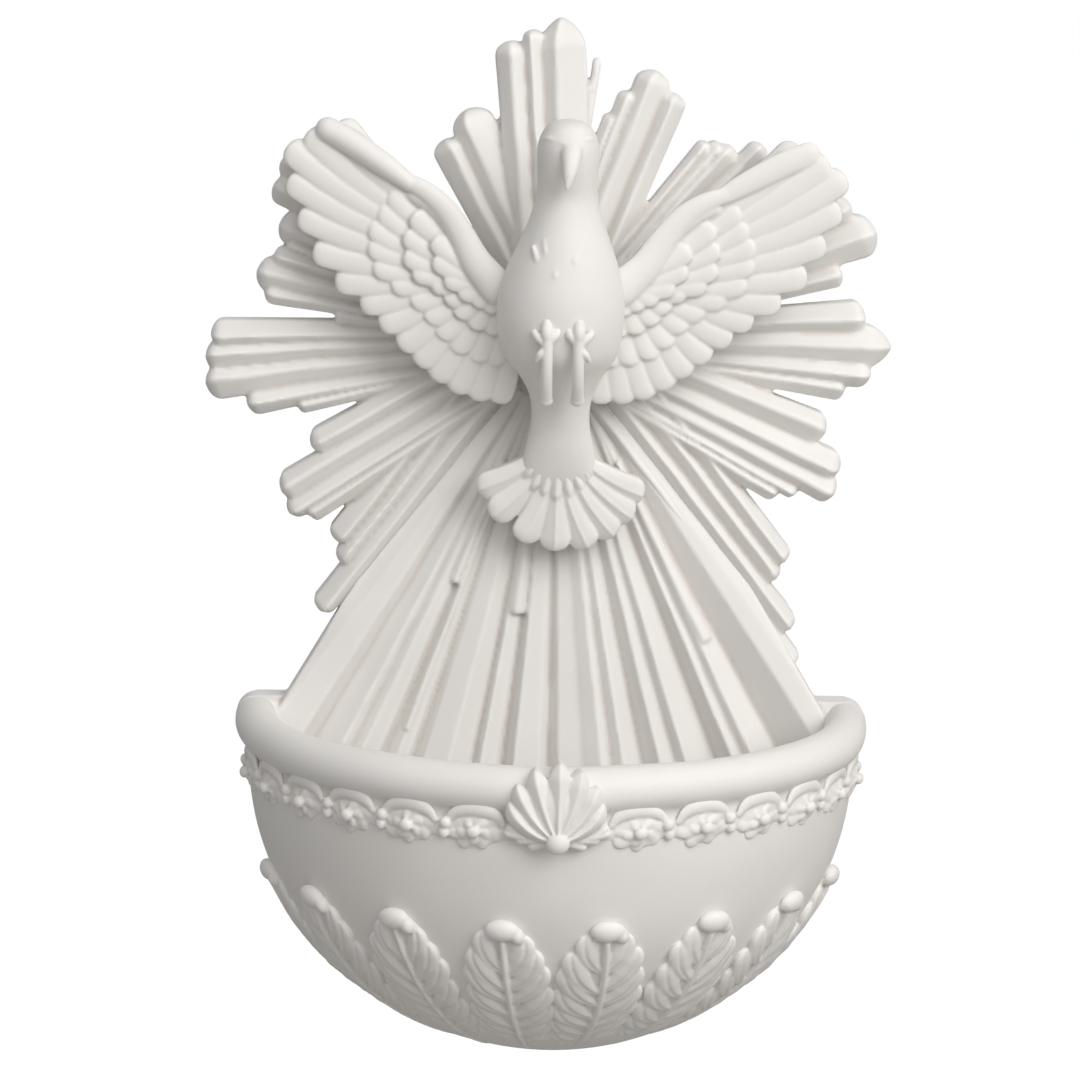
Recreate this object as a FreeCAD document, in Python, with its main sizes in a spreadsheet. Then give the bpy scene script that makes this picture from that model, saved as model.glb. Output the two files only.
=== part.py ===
import FreeCAD, Part
import math
import os
import Sketcher

# Holy water stoup: a wall plate with a sunburst, a dove in front of it and a half-round bowl below.
# Origin: centre of the keyhole's round entry, on the wall plane. +Z is up, the front faces -Y.
# Relief pieces are drawn in a relief frame (X right, Y up, Z out of the wall) and then stood upright.

doc = FreeCAD.newDocument("HolyWaterStoup")

SIZES = {
    # wall plate and sunburst
    "plate_depth": 6.0,
    "hub_radius": 28.0,
    "ray_start": 20.0,
    "hub_drop": 0.4,
    "ray_overlap": 1.08,
    "ray_rise": 2.4,
    "web_drop": 0.8,
    "web_rise": 0.3,
    "ray_tier": 1.2,
    "fan_start": 13.0,
    "fan_floor_drop": 11.0,
    "fan_side_gap": 1.2,
    "short_reed_lift": 1.4,
    "short_reed_rise": 1.2,
    "short_reed_slope": 1.0,
    # seat of the dove on the plate
    "seat_radius": 10.5,
    "seat_depth": 10.6,
    "seat_height": 5.0,
    "tenon_radius": 4.0,
    "tenon_length": 6.0,
    "tenon_clearance": 0.15,
    # bowl
    "bowl_radius": 62.5,
    "bowl_wall": 5.5,
    "bowl_centre_drop": 85.0,
    "rim_height": 5.6,
    "roll_radius": 4.4,
    "roll_offset": 1.7,
    # dove
    "breast_radius": 12.7,
    "breast_height": 8.0,
    "breast_depth": 23.2,
    "head_radius": 6.6,
    "head_length": 8.0,
    "neck_span": 31.4,
    "head_depth": 28.5,
    "neck_radius": 5.7,
    "rump_radius": 5.6,
    "beak_length": 9.0,
    "beak_radius": 2.9,
    "beak_tip_radius": 0.5,
    "beak_dip": 2.8,
    "beak_forward": 4.6,
    "head_shift": 1.0,
    "seat_margin": 0.8,
    # wings and tail
    "wing_drop": 8.7,
    "wing_depth": 3.2,
    "feather_rise": 1.1,
    "feather_width": 6.4,
    "feather_taper": 0.14,
    "feather_waist": 0.85,
    "feather_stagger": 0.25,
    "feather_slope": 0.55,
    "covert_width": 6.6,
    "covert_step": 1.3,
    "covert_taper": 0.06,
    "arm_width": 4.6,
    "arm_rise": 2.4,
    "arm_step": 0.3,
    "arm_lap": 0.35,
    "right_wing_droop": 6.0,
    "tail_drop": 10.2,
    "tail_depth": 3.2,
    "tail_width": 6.3,
    "tail_height": -19.0,
    "tail_root_width": 2.4,
    "tail_start": 3.0,
    "tail_covert_length": 8.5,
    "tail_covert_width": 3.6,
    "tail_covert_rise": 1.7,
    "body_shift": 0.3,
    # legs
    "leg_spacing": 6.4,
    "shin_width": 2.6,
    "shin_top": 4.5,
    "shin_foot": -9.0,
    "shin_rise": 1.0,
    "shin_slope": 3.4,
    "shin_ridge": 0.9,
    "ankle_height": 3.2,
    "claw_length": 4.6,
    "claw_width": 1.4,
    "claw_rise": 0.6,
    # relief on the bowl
    "leaf_count": 8,
    "leaf_first": 10.0,
    "leaf_pitch": 22.0,
    "leaflet_width": 7.0,
    "leaflet_length": 9.2,
    "leaflet_depth": 1.4,
    "leaflet_rise": 1.2,
    "leaflet_root": 2.6,
    "curl_below": 23.0,
    "curl_width": 8.2,
    "curl_stem": 5.0,
    "curl_reach": 3.6,
    "curl_rise": 3.0,
    "rib_width": 1.6,
    "rib_count": 4,
    "rib_first": 28.0,
    "rib_pitch": 11.0,
    "rib_lap": 0.5,
    "rib_depth": 2.4,
    "rib_rise": 0.9,
    "rosette_count": 6,
    "rosette_first": 14.5,
    "rosette_pitch": 12.4,
    "rosette_radius": 4.7,
    "petal_depth": 1.4,
    "petal_rise": 0.8,
    "heart_width": 2.4,
    "heart_depth": 2.6,
    "rosette_drop": 2.6,
    "bond_line": 0.05,
    "band_thickness": 0.9,
    "band_height": 4.4,
    "band_lap": 0.8,
    "scroll_width": 1.7,
    "scroll_lip": 0.3,
    "scroll_rise": 0.8,
    "scroll_margin": 0.6,
    "crest_height": 15.5,
    "crest_drop": 3.6,
    "crest_lobe_width": 4.6,
    "crest_depth": 1.4,
    "crest_rise": 1.1,
    "crest_stagger": 0.3,
    "bead_radius": 2.1,
    "husk_length": 4.6,
    "husk_width": 2.4,
    "roll_gap": 0.4,
    # keyhole hanger let into the back
    "hanger_length": 40.0,
    "hanger_width": 15.0,
    "hanger_thickness": 1.5,
    "hanger_clearance": 0.2,
    "hanger_shift": 5.0,
    "keyhole_radius": 4.5,
    "keyhole_slot_width": 4.2,
    "keyhole_travel": 9.0,
    "head_room": 3.6,
    "head_room_margin": 0.8,
    "pilot_margin": 0.2,
    "cut_margin": 2.0,
    "screw_spacing": 31.0,
    "screw_radius": 1.25,
    "screw_head_radius": 2.6,
    "screw_length": 3.8,
    "screw_clearance": 0.05,
}

sheet = doc.addObject("Spreadsheet::Sheet", "Sizes")
for row, (name, value) in enumerate(SIZES.items(), start=1):
    sheet.set("A%d" % row, name)
    sheet.set("B%d" % row, str(value))
    sheet.setAlias("B%d" % row, name)
doc.recompute()


def size(name):
    return float(sheet.get(name))


# Ray bundles, clockwise from the top: direction in degrees from +X, width at the hub as a share of the
# width at the tips, tiers it stands forward, and its reeds as offset to the left, half width and reach.
RAY_BUNDLES = [
    (93.5, 0.85, 1, ((-3.8, 4.2, 64.4), (2.0, 1.9, 62.2), (6.4, 3.1, 60.2))),
    (69.0, 0.85, 0, ((-4.0, 2.3, 54.6), (1.3, 3.2, 57.4), (4.8, 1.9, 51.6), (6.7, 1.2, 46.0))),
    (48.0, 0.6, 0, ((-4.3, 2.1, 56.8), (0.0, 2.3, 52.4), (2.7, 1.3, 51.2), (4.5, 1.4, 49.6))),
    (21.0, 0.45, 1, ((-7.7, 2.1, 58.8), (-1.9, 4.0, 68.2), (4.6, 2.5, 65.2), (9.2, 2.3, 63.4),
                     (12.7, 2.0, 60.0))),
    (-2.0, 0.38, 0, ((-8.1, 2.0, 59.2), (-4.4, 2.8, 64.4), (1.2, 4.2, 68.3), (7.0, 3.2, 62.6))),
    (-25.0, 0.6, 1, ((-9.6, 1.7, 54.8), (-7.4, 1.6, 58.2), (-4.0, 2.7, 65.2), (0.7, 2.8, 64.0),
                     (6.3, 3.0, 57.9))),
    (-52.0, 1.0, 0, ((9.2, 2.2, 65.4), (5.5, 2.2, 67.3), (1.7, 2.2, 77.4), (-2.0, 2.0, 84.0))),
    (232.5, 1.0, 0, ((-9.8, 2.2, 61.0), (-6.2, 2.0, 64.0), (-3.4, 2.2, 74.6))),
    (213.0, 0.75, 1, ((-7.8, 2.6, 54.3), (-3.2, 2.9, 64.4), (0.9, 2.3, 65.6), (3.9, 1.8, 62.4))),
    (186.5, 0.42, 0, ((-7.7, 2.7, 70.0), (-3.2, 2.8, 71.6), (2.2, 3.2, 72.2), (7.0, 2.5, 64.4),
                      (8.9, 1.4, 54.0))),
    (168.0, 0.45, 1, ((-3.6, 2.0, 59.8), (0.3, 3.1, 62.4), (3.9, 2.0, 60.0), (5.4, 1.3, 45.0))),
    (154.0, 0.45, 0, ((-6.8, 2.3, 66.0), (-1.8, 2.8, 65.2), (4.4, 3.1, 60.7), (7.5, 1.7, 57.6))),
    (116.5, 0.75, 0, ((-3.4, 4.0, 49.4), (3.4, 2.8, 45.9))),
]
# Low webs that close the gaps between bundles, and a thin dart beside the top one: direction, half width
# and reach.
WEBS = ((-37.8, 2.4, 49.6), (-13.8, 2.4, 45.5), (8.6, 1.8, 43.8), (36.0, 4.0, 50.0), (79.5, 2.6, 41.8),
        (84.3, 1.4, 51.6), (82.7, 0.8, 57.0), (175.6, 1.8, 44.0), (198.8, 2.2, 41.4), (219.2, 1.6, 52.2))

# Pleats of the lower fan: degrees from straight down, left to right, and the rise over the plate at the depth
# of the bowl's centre. Deep valleys part it into bundles.
FAN_PLEATS = (
    (-38.6, 0.6), (-35.6, 2.3), (-32.0, 2.6), (-30.2, 0.2), (-28.6, 1.4), (-27.0, 2.7), (-25.8, 1.7),
    (-24.6, 2.9), (-22.4, 2.3), (-21.6, 0.5), (-20.2, 2.0), (-18.8, 1.9), (-18.0, 0.2), (-16.8, 1.9),
    (-13.5, 3.0), (-10.1, 0.5), (-9.4, 2.5), (-7.4, 1.7), (-6.2, 0.1), (-5.0, 3.0), (-1.6, 2.3),
    (-0.3, 0.3), (1.0, 2.3), (4.4, 2.1), (6.9, 3.2), (8.1, 1.9), (9.7, 3.1), (12.2, 0.4), (14.4, 3.0),
    (16.4, 1.7), (17.7, 3.0), (21.4, 0.2), (23.5, 3.0), (24.7, 1.9), (25.8, 2.8), (28.9, 0.1),
    (31.0, 1.6), (33.6, 3.1), (36.4, 2.4), (38.6, 1.0),
)

# Short reeds that lie on the fan: degrees from straight down, half width and the reach of the rounded end.
SHORT_REEDS = ((-22.0, 1.4, 54.5), (-7.7, 2.0, 57.5), (26.6, 1.8, 70.0), (-20.2, 1.1, 87.0))

# Tips of the left wing's flight feathers, from the leading edge round to the body.
FLIGHT_TIPS = (
    (-44.4, 43.8), (-50.2, 42.0), (-54.4, 39.0), (-54.2, 32.6), (-52.1, 25.6), (-49.3, 18.6), (-44.9, 12.7),
    (-39.9, 8.2), (-36.1, 3.9), (-32.2, -0.6), (-28.6, -4.2), (-25.0, -7.4), (-21.0, -9.9), (-16.8, -11.4),
    (-12.4, -12.0),
)
# Control points of the curve that the flight feathers spring from, and of the wing's leading edge.
FLIGHT_ROOTS = ((-30.0, 29.0), (-33.0, 8.0), (-10.0, -1.0))
LEADING_EDGE = ((-31.0, 32.0), (-22.0, 28.0), (-16.8, 19.6), (-10.5, 11.0))
SHOULDER = (-12.5, 15.0)
# Rows of coverts: how many, and how far towards the flight feathers' tips they reach.
COVERT_ROWS = ((10, 0.58), (9, 0.40), (7, 0.23))

# Tail feathers: bearing from the root of the fan, and reach.
TAIL_FEATHERS = (
    (-146, 19.5), (-129, 21.2), (-109, 22.6), (-91, 23.4), (-74, 23.6), (-60, 23.2), (-47, 22.4), (-34, 21.0),
)
TAIL_COVERTS = (-120, -90, -62)
CLAWS = (-28, 0, 28)

# Round sections of the dove's body from tail root to throat: height, sideways shift, depth, and radius.
BODY_SECTIONS = (
    ("tail_root", "tail_height - 5", "body_shift", "breast_depth - 7.2", "rump_radius"),
    ("tail_base", "breast_height - 26", "body_shift", "breast_depth - 6.6", "rump_radius * 0.94"),
    ("rump", "breast_height - 19", "body_shift", "breast_depth - 4.9", "rump_radius * 0.98"),
    ("belly", "breast_height - 12", "body_shift", "breast_depth - 2.3", "breast_radius * 0.73"),
    ("waist", "breast_height - 5", "body_shift", "breast_depth - 0.5", "breast_radius * 0.94"),
    ("breast", "breast_height", "body_shift", "breast_depth", "breast_radius"),
    ("shoulders", "breast_height + neck_span * 0.32", "body_shift", "breast_depth + 0.9",
     "breast_radius * 0.81"),
    ("neck_base", "breast_height + neck_span * 0.55", "head_shift", "breast_depth + 1.8",
     "neck_radius * 1.34"),
    ("throat", "breast_height + neck_span * 0.72", "head_shift", "head_depth - 2.4", "neck_radius"),
    ("nape", "breast_height + neck_span * 0.86", "head_shift", "head_depth - 0.8", "head_radius * 0.9"),
)

# Palmette lobes of the crest: degrees from upright, and share of the crest's height.
CREST_LOBES = ((-64, 0.76), (-43, 0.88), (-21, 0.95), (1, 1.0), (22, 0.94), (42, 0.85), (62, 0.68))
# Husks that spread sideways from the bead, under the palmette: degrees from upright.
HUSKS = (-104, -84, 84, 104)

# Pairs of leaflets of an acanthus leaf: degrees below the equator, share of the longest one, and spread.
LARGE_LEAFLET = 0.8
LEAFLET_ROWS = ((27.0, 0.84, 38), (34.2, 1.0, 43), (42.0, 0.98, 46), (50.0, 0.78, 49), (58.0, 0.48, 52))
# Petals of a rosette, and their width as a share of its radius.
PETALS = 5
PETAL_WIDTH = 0.86
# Pieces of the crescent over a rosette: bearing of its first end, turn from piece to piece, and lap.
SCROLL_PIECES = 3
SCROLL_START = 42
SCROLL_TURN = 44
SCROLL_LAP = 1.1

# Flats that round a blade's tip: large feathers, small pieces, and what is too fine to need more.
TIP_FACETS = 4
SMALL_TIP_FACETS = 3
FINE_TIP_FACETS = 2
ARM_SEGMENTS = 4
BEAK_LEAN = 128
nodes = {}


def turned(point, degrees, centre=(0.0, 0.0)):
    """Turn a plane point about a centre."""
    angle = math.radians(degrees)
    across = point[0] - centre[0]
    along = point[1] - centre[1]
    x = centre[0] + across * math.cos(angle) - along * math.sin(angle)
    y = centre[1] + across * math.sin(angle) + along * math.cos(angle)
    return (x, y)


def ahead(point, bearing, reach):
    """The plane point that lies at a bearing and a distance from another."""
    angle = math.radians(bearing)
    return (point[0] + reach * math.cos(angle), point[1] + reach * math.sin(angle))


def between(start, end, share):
    return tuple(a + (b - a) * share for a, b in zip(start, end))


def curve_point(controls, share):
    """Point on a Bezier curve given by its control points."""
    while len(controls) > 1:
        controls = [between(a, b, share) for a, b in zip(controls, controls[1:])]
    return controls[0]


def flat_face(points):
    return Part.Face(Part.makePolygon(list(points) + [points[0]]))


def solid_of(faces):
    solid = Part.Solid(Part.Shell(faces))
    if solid.Volume < 0:
        solid.reverse()
    return solid


def blade(root, tip, root_width, tip_width, floor, depths, rises, facets=TIP_FACETS):
    """A gabled strip with a rounded tip: one reed, feather or leaflet, standing on the plane Z = floor.

    depths are the wall's heights at root and tip, rises are the ridge's height above the wall.
    """
    length = math.dist(root, tip)
    bearing = math.degrees(math.atan2(tip[1] - root[1], tip[0] - root[0]))
    half_root = root_width / 2
    half_tip = tip_width / 2
    shoulder = length - half_tip
    outline = [(0.0, -half_root)]
    for step in range(facets + 1):
        angle = math.radians(-90 + 180 * step / facets)
        outline.append((shoulder + half_tip * math.cos(angle), half_tip * math.sin(angle)))
    outline.append((0.0, half_root))

    def raised(point, height):
        x, y = turned(point, bearing)
        return FreeCAD.Vector(root[0] + x, root[1] + y, height)

    def wall_top(point):
        return floor + depths[0] + (depths[1] - depths[0]) * point[0] / length

    low = [raised(point, floor) for point in outline]
    high = [raised(point, wall_top(point)) for point in outline]
    ridge_root = raised((0.0, 0.0), wall_top((0.0, 0.0)) + rises[0])
    ridge_tip = raised((shoulder, 0.0), wall_top((shoulder, 0.0)) + rises[1])
    count = len(outline)
    faces = [flat_face(low)]
    for here in range(count - 1):
        faces.append(flat_face([low[here], low[here + 1], high[here + 1], high[here]]))
    faces.append(flat_face([low[-1], low[0], high[0], ridge_root, high[-1]]))
    faces.append(flat_face([high[0], high[1], ridge_tip]))
    faces.append(flat_face([high[0], ridge_tip, ridge_root]))
    faces.append(flat_face([high[-1], ridge_root, ridge_tip]))
    faces.append(flat_face([high[-1], ridge_tip, high[-2]]))
    for here in range(1, count - 2):
        faces.append(flat_face([high[here], high[here + 1], ridge_tip]))
    return solid_of(faces)


def joined(solids):
    return solids[0].multiFuse(solids[1:]).removeSplitter()


def feature(name, shape, placement=None):
    """A sub-part whose form is set here, placed after its shape."""
    obj = doc.addObject("Part::Feature", name)
    obj.Shape = shape
    if placement is not None:
        obj.Placement = placement
    return obj


def upright(y=0.0, z=0.0):
    """Placement that stands the relief frame against the wall."""
    return FreeCAD.Placement(FreeCAD.Vector(0, y, z), FreeCAD.Rotation(FreeCAD.Vector(1, 0, 0), 90))


def cut(name, base, tool):
    obj = doc.addObject("Part::Cut", name)
    obj.Base = base
    obj.Tool = tool
    return obj


def bind(obj, **expressions):
    for prop, text in expressions.items():
        obj.setExpression(prop.replace("__", "."), text)


def origin_plane(body, role):
    return next(plane for plane in body.Origin.OriginFeatures if plane.Role == role)


def sketch_on(body, name, role="XZ_Plane"):
    sketch = body.newObject("Sketcher::SketchObject", name)
    sketch.AttachmentSupport = [(origin_plane(body, role), "")]
    sketch.MapMode = "FlatFace"
    return sketch


def named(sketch, constraint, name, expression):
    index = sketch.addConstraint(constraint)
    sketch.renameConstraint(index, name)
    sketch.setExpression("Constraints." + name, expression)


# ---------------------------------------------------------------- bowl

def make_bowl():
    """Half-round shell with a rolled rim, turned about the vertical axis on the apron's front."""
    body = doc.addObject("PartDesign::Body", "bowl")
    bind(body, Placement__Base__y="-Sizes.plate_depth", Placement__Base__z="-Sizes.bowl_centre_drop")
    outer, wall, rise = size("bowl_radius"), size("bowl_wall"), size("rim_height")
    inner = outer - wall
    point = FreeCAD.Vector
    profile = sketch_on(body, "bowl_profile")
    centre = point(0, 0, 0)
    normal = point(0, 0, 1)
    quarter = (-math.pi / 2, 0.0)
    outside = profile.addGeometry(Part.ArcOfCircle(Part.Circle(centre, normal, outer), *quarter))
    outer_wall = profile.addGeometry(Part.LineSegment(point(outer, 0, 0), point(outer, rise, 0)))
    lip = profile.addGeometry(Part.LineSegment(point(outer, rise, 0), point(inner, rise, 0)))
    inner_wall = profile.addGeometry(Part.LineSegment(point(inner, rise, 0), point(inner, 0, 0)))
    inside = profile.addGeometry(Part.ArcOfCircle(Part.Circle(centre, normal, inner), *quarter))
    floor = profile.addGeometry(Part.LineSegment(point(0, -inner, 0), point(0, -outer, 0)))
    for arc in (outside, inside):
        profile.addConstraint(Sketcher.Constraint("Coincident", arc, 3, -1, 1))
    joints = ((outside, 2, outer_wall, 1), (outer_wall, 2, lip, 1), (lip, 2, inner_wall, 1),
              (inner_wall, 2, inside, 2), (inside, 1, floor, 1), (floor, 2, outside, 1))
    for joint in joints:
        profile.addConstraint(Sketcher.Constraint("Coincident", *joint))
    for line in (outer_wall, inner_wall, floor):
        profile.addConstraint(Sketcher.Constraint("Vertical", line))
    profile.addConstraint(Sketcher.Constraint("Horizontal", lip))
    profile.addConstraint(Sketcher.Constraint("PointOnObject", floor, 2, -2))
    profile.addConstraint(Sketcher.Constraint("PointOnObject", outside, 2, -1))
    profile.addConstraint(Sketcher.Constraint("PointOnObject", inside, 2, -1))
    named(profile, Sketcher.Constraint("Radius", outside, outer), "outer", "Sizes.bowl_radius")
    named(profile, Sketcher.Constraint("Radius", inside, inner), "inner",
          "Sizes.bowl_radius - Sizes.bowl_wall")
    named(profile, Sketcher.Constraint("DistanceY", outer_wall, 1, outer_wall, 2, rise), "rise",
          "Sizes.rim_height")
    shell = body.newObject("PartDesign::Revolution", "bowl_shell")
    shell.Profile = profile
    shell.ReferenceAxis = (profile, ["V_Axis"])
    shell.Angle = 180
    shell.Reversed = True
    roll_profile = sketch_on(body, "roll_profile")
    across = outer - size("roll_offset")
    circle = Part.Circle(point(across, rise, 0), normal, size("roll_radius"))
    roll = roll_profile.addGeometry(circle)
    named(roll_profile, Sketcher.Constraint("Radius", roll, size("roll_radius")), "roll", "Sizes.roll_radius")
    named(roll_profile, Sketcher.Constraint("DistanceX", -1, 1, roll, 3, across), "across",
          "Sizes.bowl_radius - Sizes.roll_offset")
    named(roll_profile, Sketcher.Constraint("DistanceY", -1, 1, roll, 3, rise), "up", "Sizes.rim_height")
    rim = body.newObject("PartDesign::Revolution", "rolled_rim")
    rim.Profile = roll_profile
    rim.ReferenceAxis = (roll_profile, ["V_Axis"])
    rim.Angle = 180
    rim.Reversed = True
    body.Tip = rim
    nodes["bowl"] = body


# ---------------------------------------------------------------- wall plate

def ray_bundle(direction, waist, tier, reeds):
    """Reeds side by side, narrower towards the hub."""
    depth = size("plate_depth") + tier * size("ray_tier")
    start, rise = size("ray_start"), size("ray_rise")
    solids = []
    for across, half, reach in reeds:
        root = turned((start, across * waist), direction)
        tip = turned((reach, across), direction)
        width = 2 * half * size("ray_overlap")
        solids.append(blade(root, tip, width * waist, width, 0.0, (depth, depth), (rise * waist, rise),
                            SMALL_TIP_FACETS))
    return solids


def webs():
    """Low strips that close the gaps between bundles."""
    depth, rise = size("plate_depth") - size("web_drop"), size("web_rise")
    solids = []
    for direction, half, reach in WEBS:
        root, tip = (turned((along, 0.0), direction) for along in (size("ray_start"), reach))
        solids.append(blade(root, tip, half, 2 * half, 0.0, (depth, depth), (rise, rise), FINE_TIP_FACETS))
    return solids


def pleated_fan():
    """The dense reeding from the dove down into the bowl, one folded sheet with a flat back."""
    base = size("plate_depth")
    start = size("fan_start")
    side = size("bowl_radius") - size("roll_offset") - size("roll_radius") - size("fan_side_gap")
    floor = size("bowl_centre_drop") + size("fan_floor_drop")
    rays = [(degrees, rise / size("bowl_centre_drop")) for degrees, rise in FAN_PLEATS]
    point = FreeCAD.Vector

    def station(degrees, slope, reach):
        x = reach * math.sin(math.radians(degrees))
        y = -reach * math.cos(math.radians(degrees))
        return point(x, y, 0), point(x, y, base + slope * reach)

    def full_reach(degrees):
        angle = math.radians(abs(degrees))
        down = floor / math.cos(angle)
        return down if angle == 0 else min(down, side / math.sin(angle))

    inner = [station(degrees, slope, start) for degrees, slope in rays]
    outer = [station(degrees, slope, full_reach(degrees)) for degrees, slope in rays]
    faces = []
    for here in range(len(rays) - 1):
        there = here + 1
        faces.append(flat_face([inner[here][1], outer[here][1], outer[there][1], inner[there][1]]))
        faces.append(flat_face([outer[here][0], outer[here][1], outer[there][1], outer[there][0]]))
        faces.append(flat_face([inner[here][0], inner[here][1], inner[there][1], inner[there][0]]))
        faces.append(flat_face([inner[here][0], outer[here][0], outer[there][0], inner[there][0]]))
    for end in (0, -1):
        faces.append(flat_face([inner[end][0], outer[end][0], outer[end][1], inner[end][1]]))
    return solid_of(faces)


def short_reeds():
    """Shorter reeds lying on the fan, whose rounded ends break up its lines."""
    depth = size("plate_depth") + size("short_reed_lift")
    reeds = []
    for degrees, half, reach in SHORT_REEDS:
        root = turned((0.0, -size("hub_radius")), degrees)
        tip = turned((0.0, -reach), degrees)
        rises = (size("short_reed_rise") / 2, size("short_reed_rise"))
        depths = (depth - size("short_reed_slope"), depth)
        reeds.append(blade(root, tip, half, 2 * half, 0.0, depths, rises, SMALL_TIP_FACETS))
    return reeds


def apron():
    """Flat back of the bowl: the outline of its section, as deep as the plate."""
    depth = size("plate_depth")
    radius = size("bowl_radius")
    centre = FreeCAD.Vector(0, -size("bowl_centre_drop"), 0)
    out = FreeCAD.Vector(0, 0, 1)
    roll_x = radius - size("roll_offset")
    roll_y = -size("bowl_centre_drop") + size("rim_height")
    half_disc = Part.makeCylinder(radius, depth, centre, out, 180)
    half_disc.rotate(centre, out, 180)
    wall = Part.makeBox(2 * radius, size("rim_height"), depth, FreeCAD.Vector(-radius, centre.y, 0))
    top = Part.makeBox(2 * roll_x, size("roll_radius"), depth, FreeCAD.Vector(-roll_x, roll_y, 0))
    rolls = [Part.makeCylinder(size("roll_radius"), depth, FreeCAD.Vector(side * roll_x, roll_y, 0), out)
             for side in (-1, 1)]
    return [half_disc, wall, top] + rolls


def make_plate():
    """Hub, ray bundles, fan, apron and the dove's seat, with the hanger's recess cut in the back."""
    out = FreeCAD.Vector(0, 0, 1)
    seat_place = FreeCAD.Vector(0, size("seat_height"), 0)
    solids = [Part.makeCylinder(size("hub_radius"), size("plate_depth") - size("hub_drop"))]
    solids.append(Part.makeCylinder(size("seat_radius"), size("seat_depth"), seat_place, out))
    tenon_top = size("seat_depth") + size("tenon_length")
    solids.append(Part.makeCylinder(size("tenon_radius"), tenon_top, seat_place, out))
    for bundle in RAY_BUNDLES:
        solids += ray_bundle(*bundle)
    solids += webs()
    solids.append(pleated_fan())
    solids += short_reeds()
    solids += apron()
    blank = feature("sunburst_blank", joined(solids), upright())
    nodes["sunburst_plate"] = cut("sunburst_plate", blank, hanger_recess())


def hanger_recess():
    """Everything cut from the plate's back: the hanger's bed, room for the wall screw's head, pilot holes."""
    bed = doc.addObject("Part::Box", "hanger_bed")
    bind(bed, Length="Sizes.hanger_width + 2 * Sizes.hanger_clearance",
         Height="Sizes.hanger_length + 2 * Sizes.hanger_clearance",
         Width="Sizes.hanger_thickness + Sizes.cut_margin",
         Placement__Base__x="-Sizes.hanger_width / 2 - Sizes.hanger_clearance",
         Placement__Base__y="-Sizes.hanger_thickness",
         Placement__Base__z="Sizes.hanger_shift - Sizes.hanger_length / 2 - Sizes.hanger_clearance")
    room_radius = "Sizes.keyhole_radius + Sizes.head_room_margin"
    room_depth = "Sizes.hanger_thickness + Sizes.head_room"
    tools = [bed]
    for name, height in (("room_low", "0"), ("room_high", "Sizes.keyhole_travel")):
        round_end = doc.addObject("Part::Cylinder", name)
        round_end.Placement.Rotation = FreeCAD.Rotation(FreeCAD.Vector(1, 0, 0), 90)
        bind(round_end, Radius=room_radius, Height=room_depth, Placement__Base__z=height)
        tools.append(round_end)
    middle = doc.addObject("Part::Box", "room_middle")
    bind(middle, Length="2 * (" + room_radius + ")", Width=room_depth, Height="Sizes.keyhole_travel",
         Placement__Base__x="-(" + room_radius + ")", Placement__Base__y="-(" + room_depth + ")")
    tools.append(middle)
    for name, sign in (("pilot_low", "-"), ("pilot_high", "+")):
        pilot = doc.addObject("Part::Cylinder", name)
        pilot.Placement.Rotation = FreeCAD.Rotation(FreeCAD.Vector(1, 0, 0), 90)
        bind(pilot, Radius="Sizes.screw_radius + Sizes.screw_clearance",
             Height="Sizes.screw_length + Sizes.pilot_margin",
             Placement__Base__z="Sizes.hanger_shift " + sign + " Sizes.screw_spacing / 2")
        tools.append(pilot)
    recess = doc.addObject("Part::MultiFuse", "hanger_recess")
    recess.Shapes = tools
    return recess


# ---------------------------------------------------------------- hanger

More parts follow.
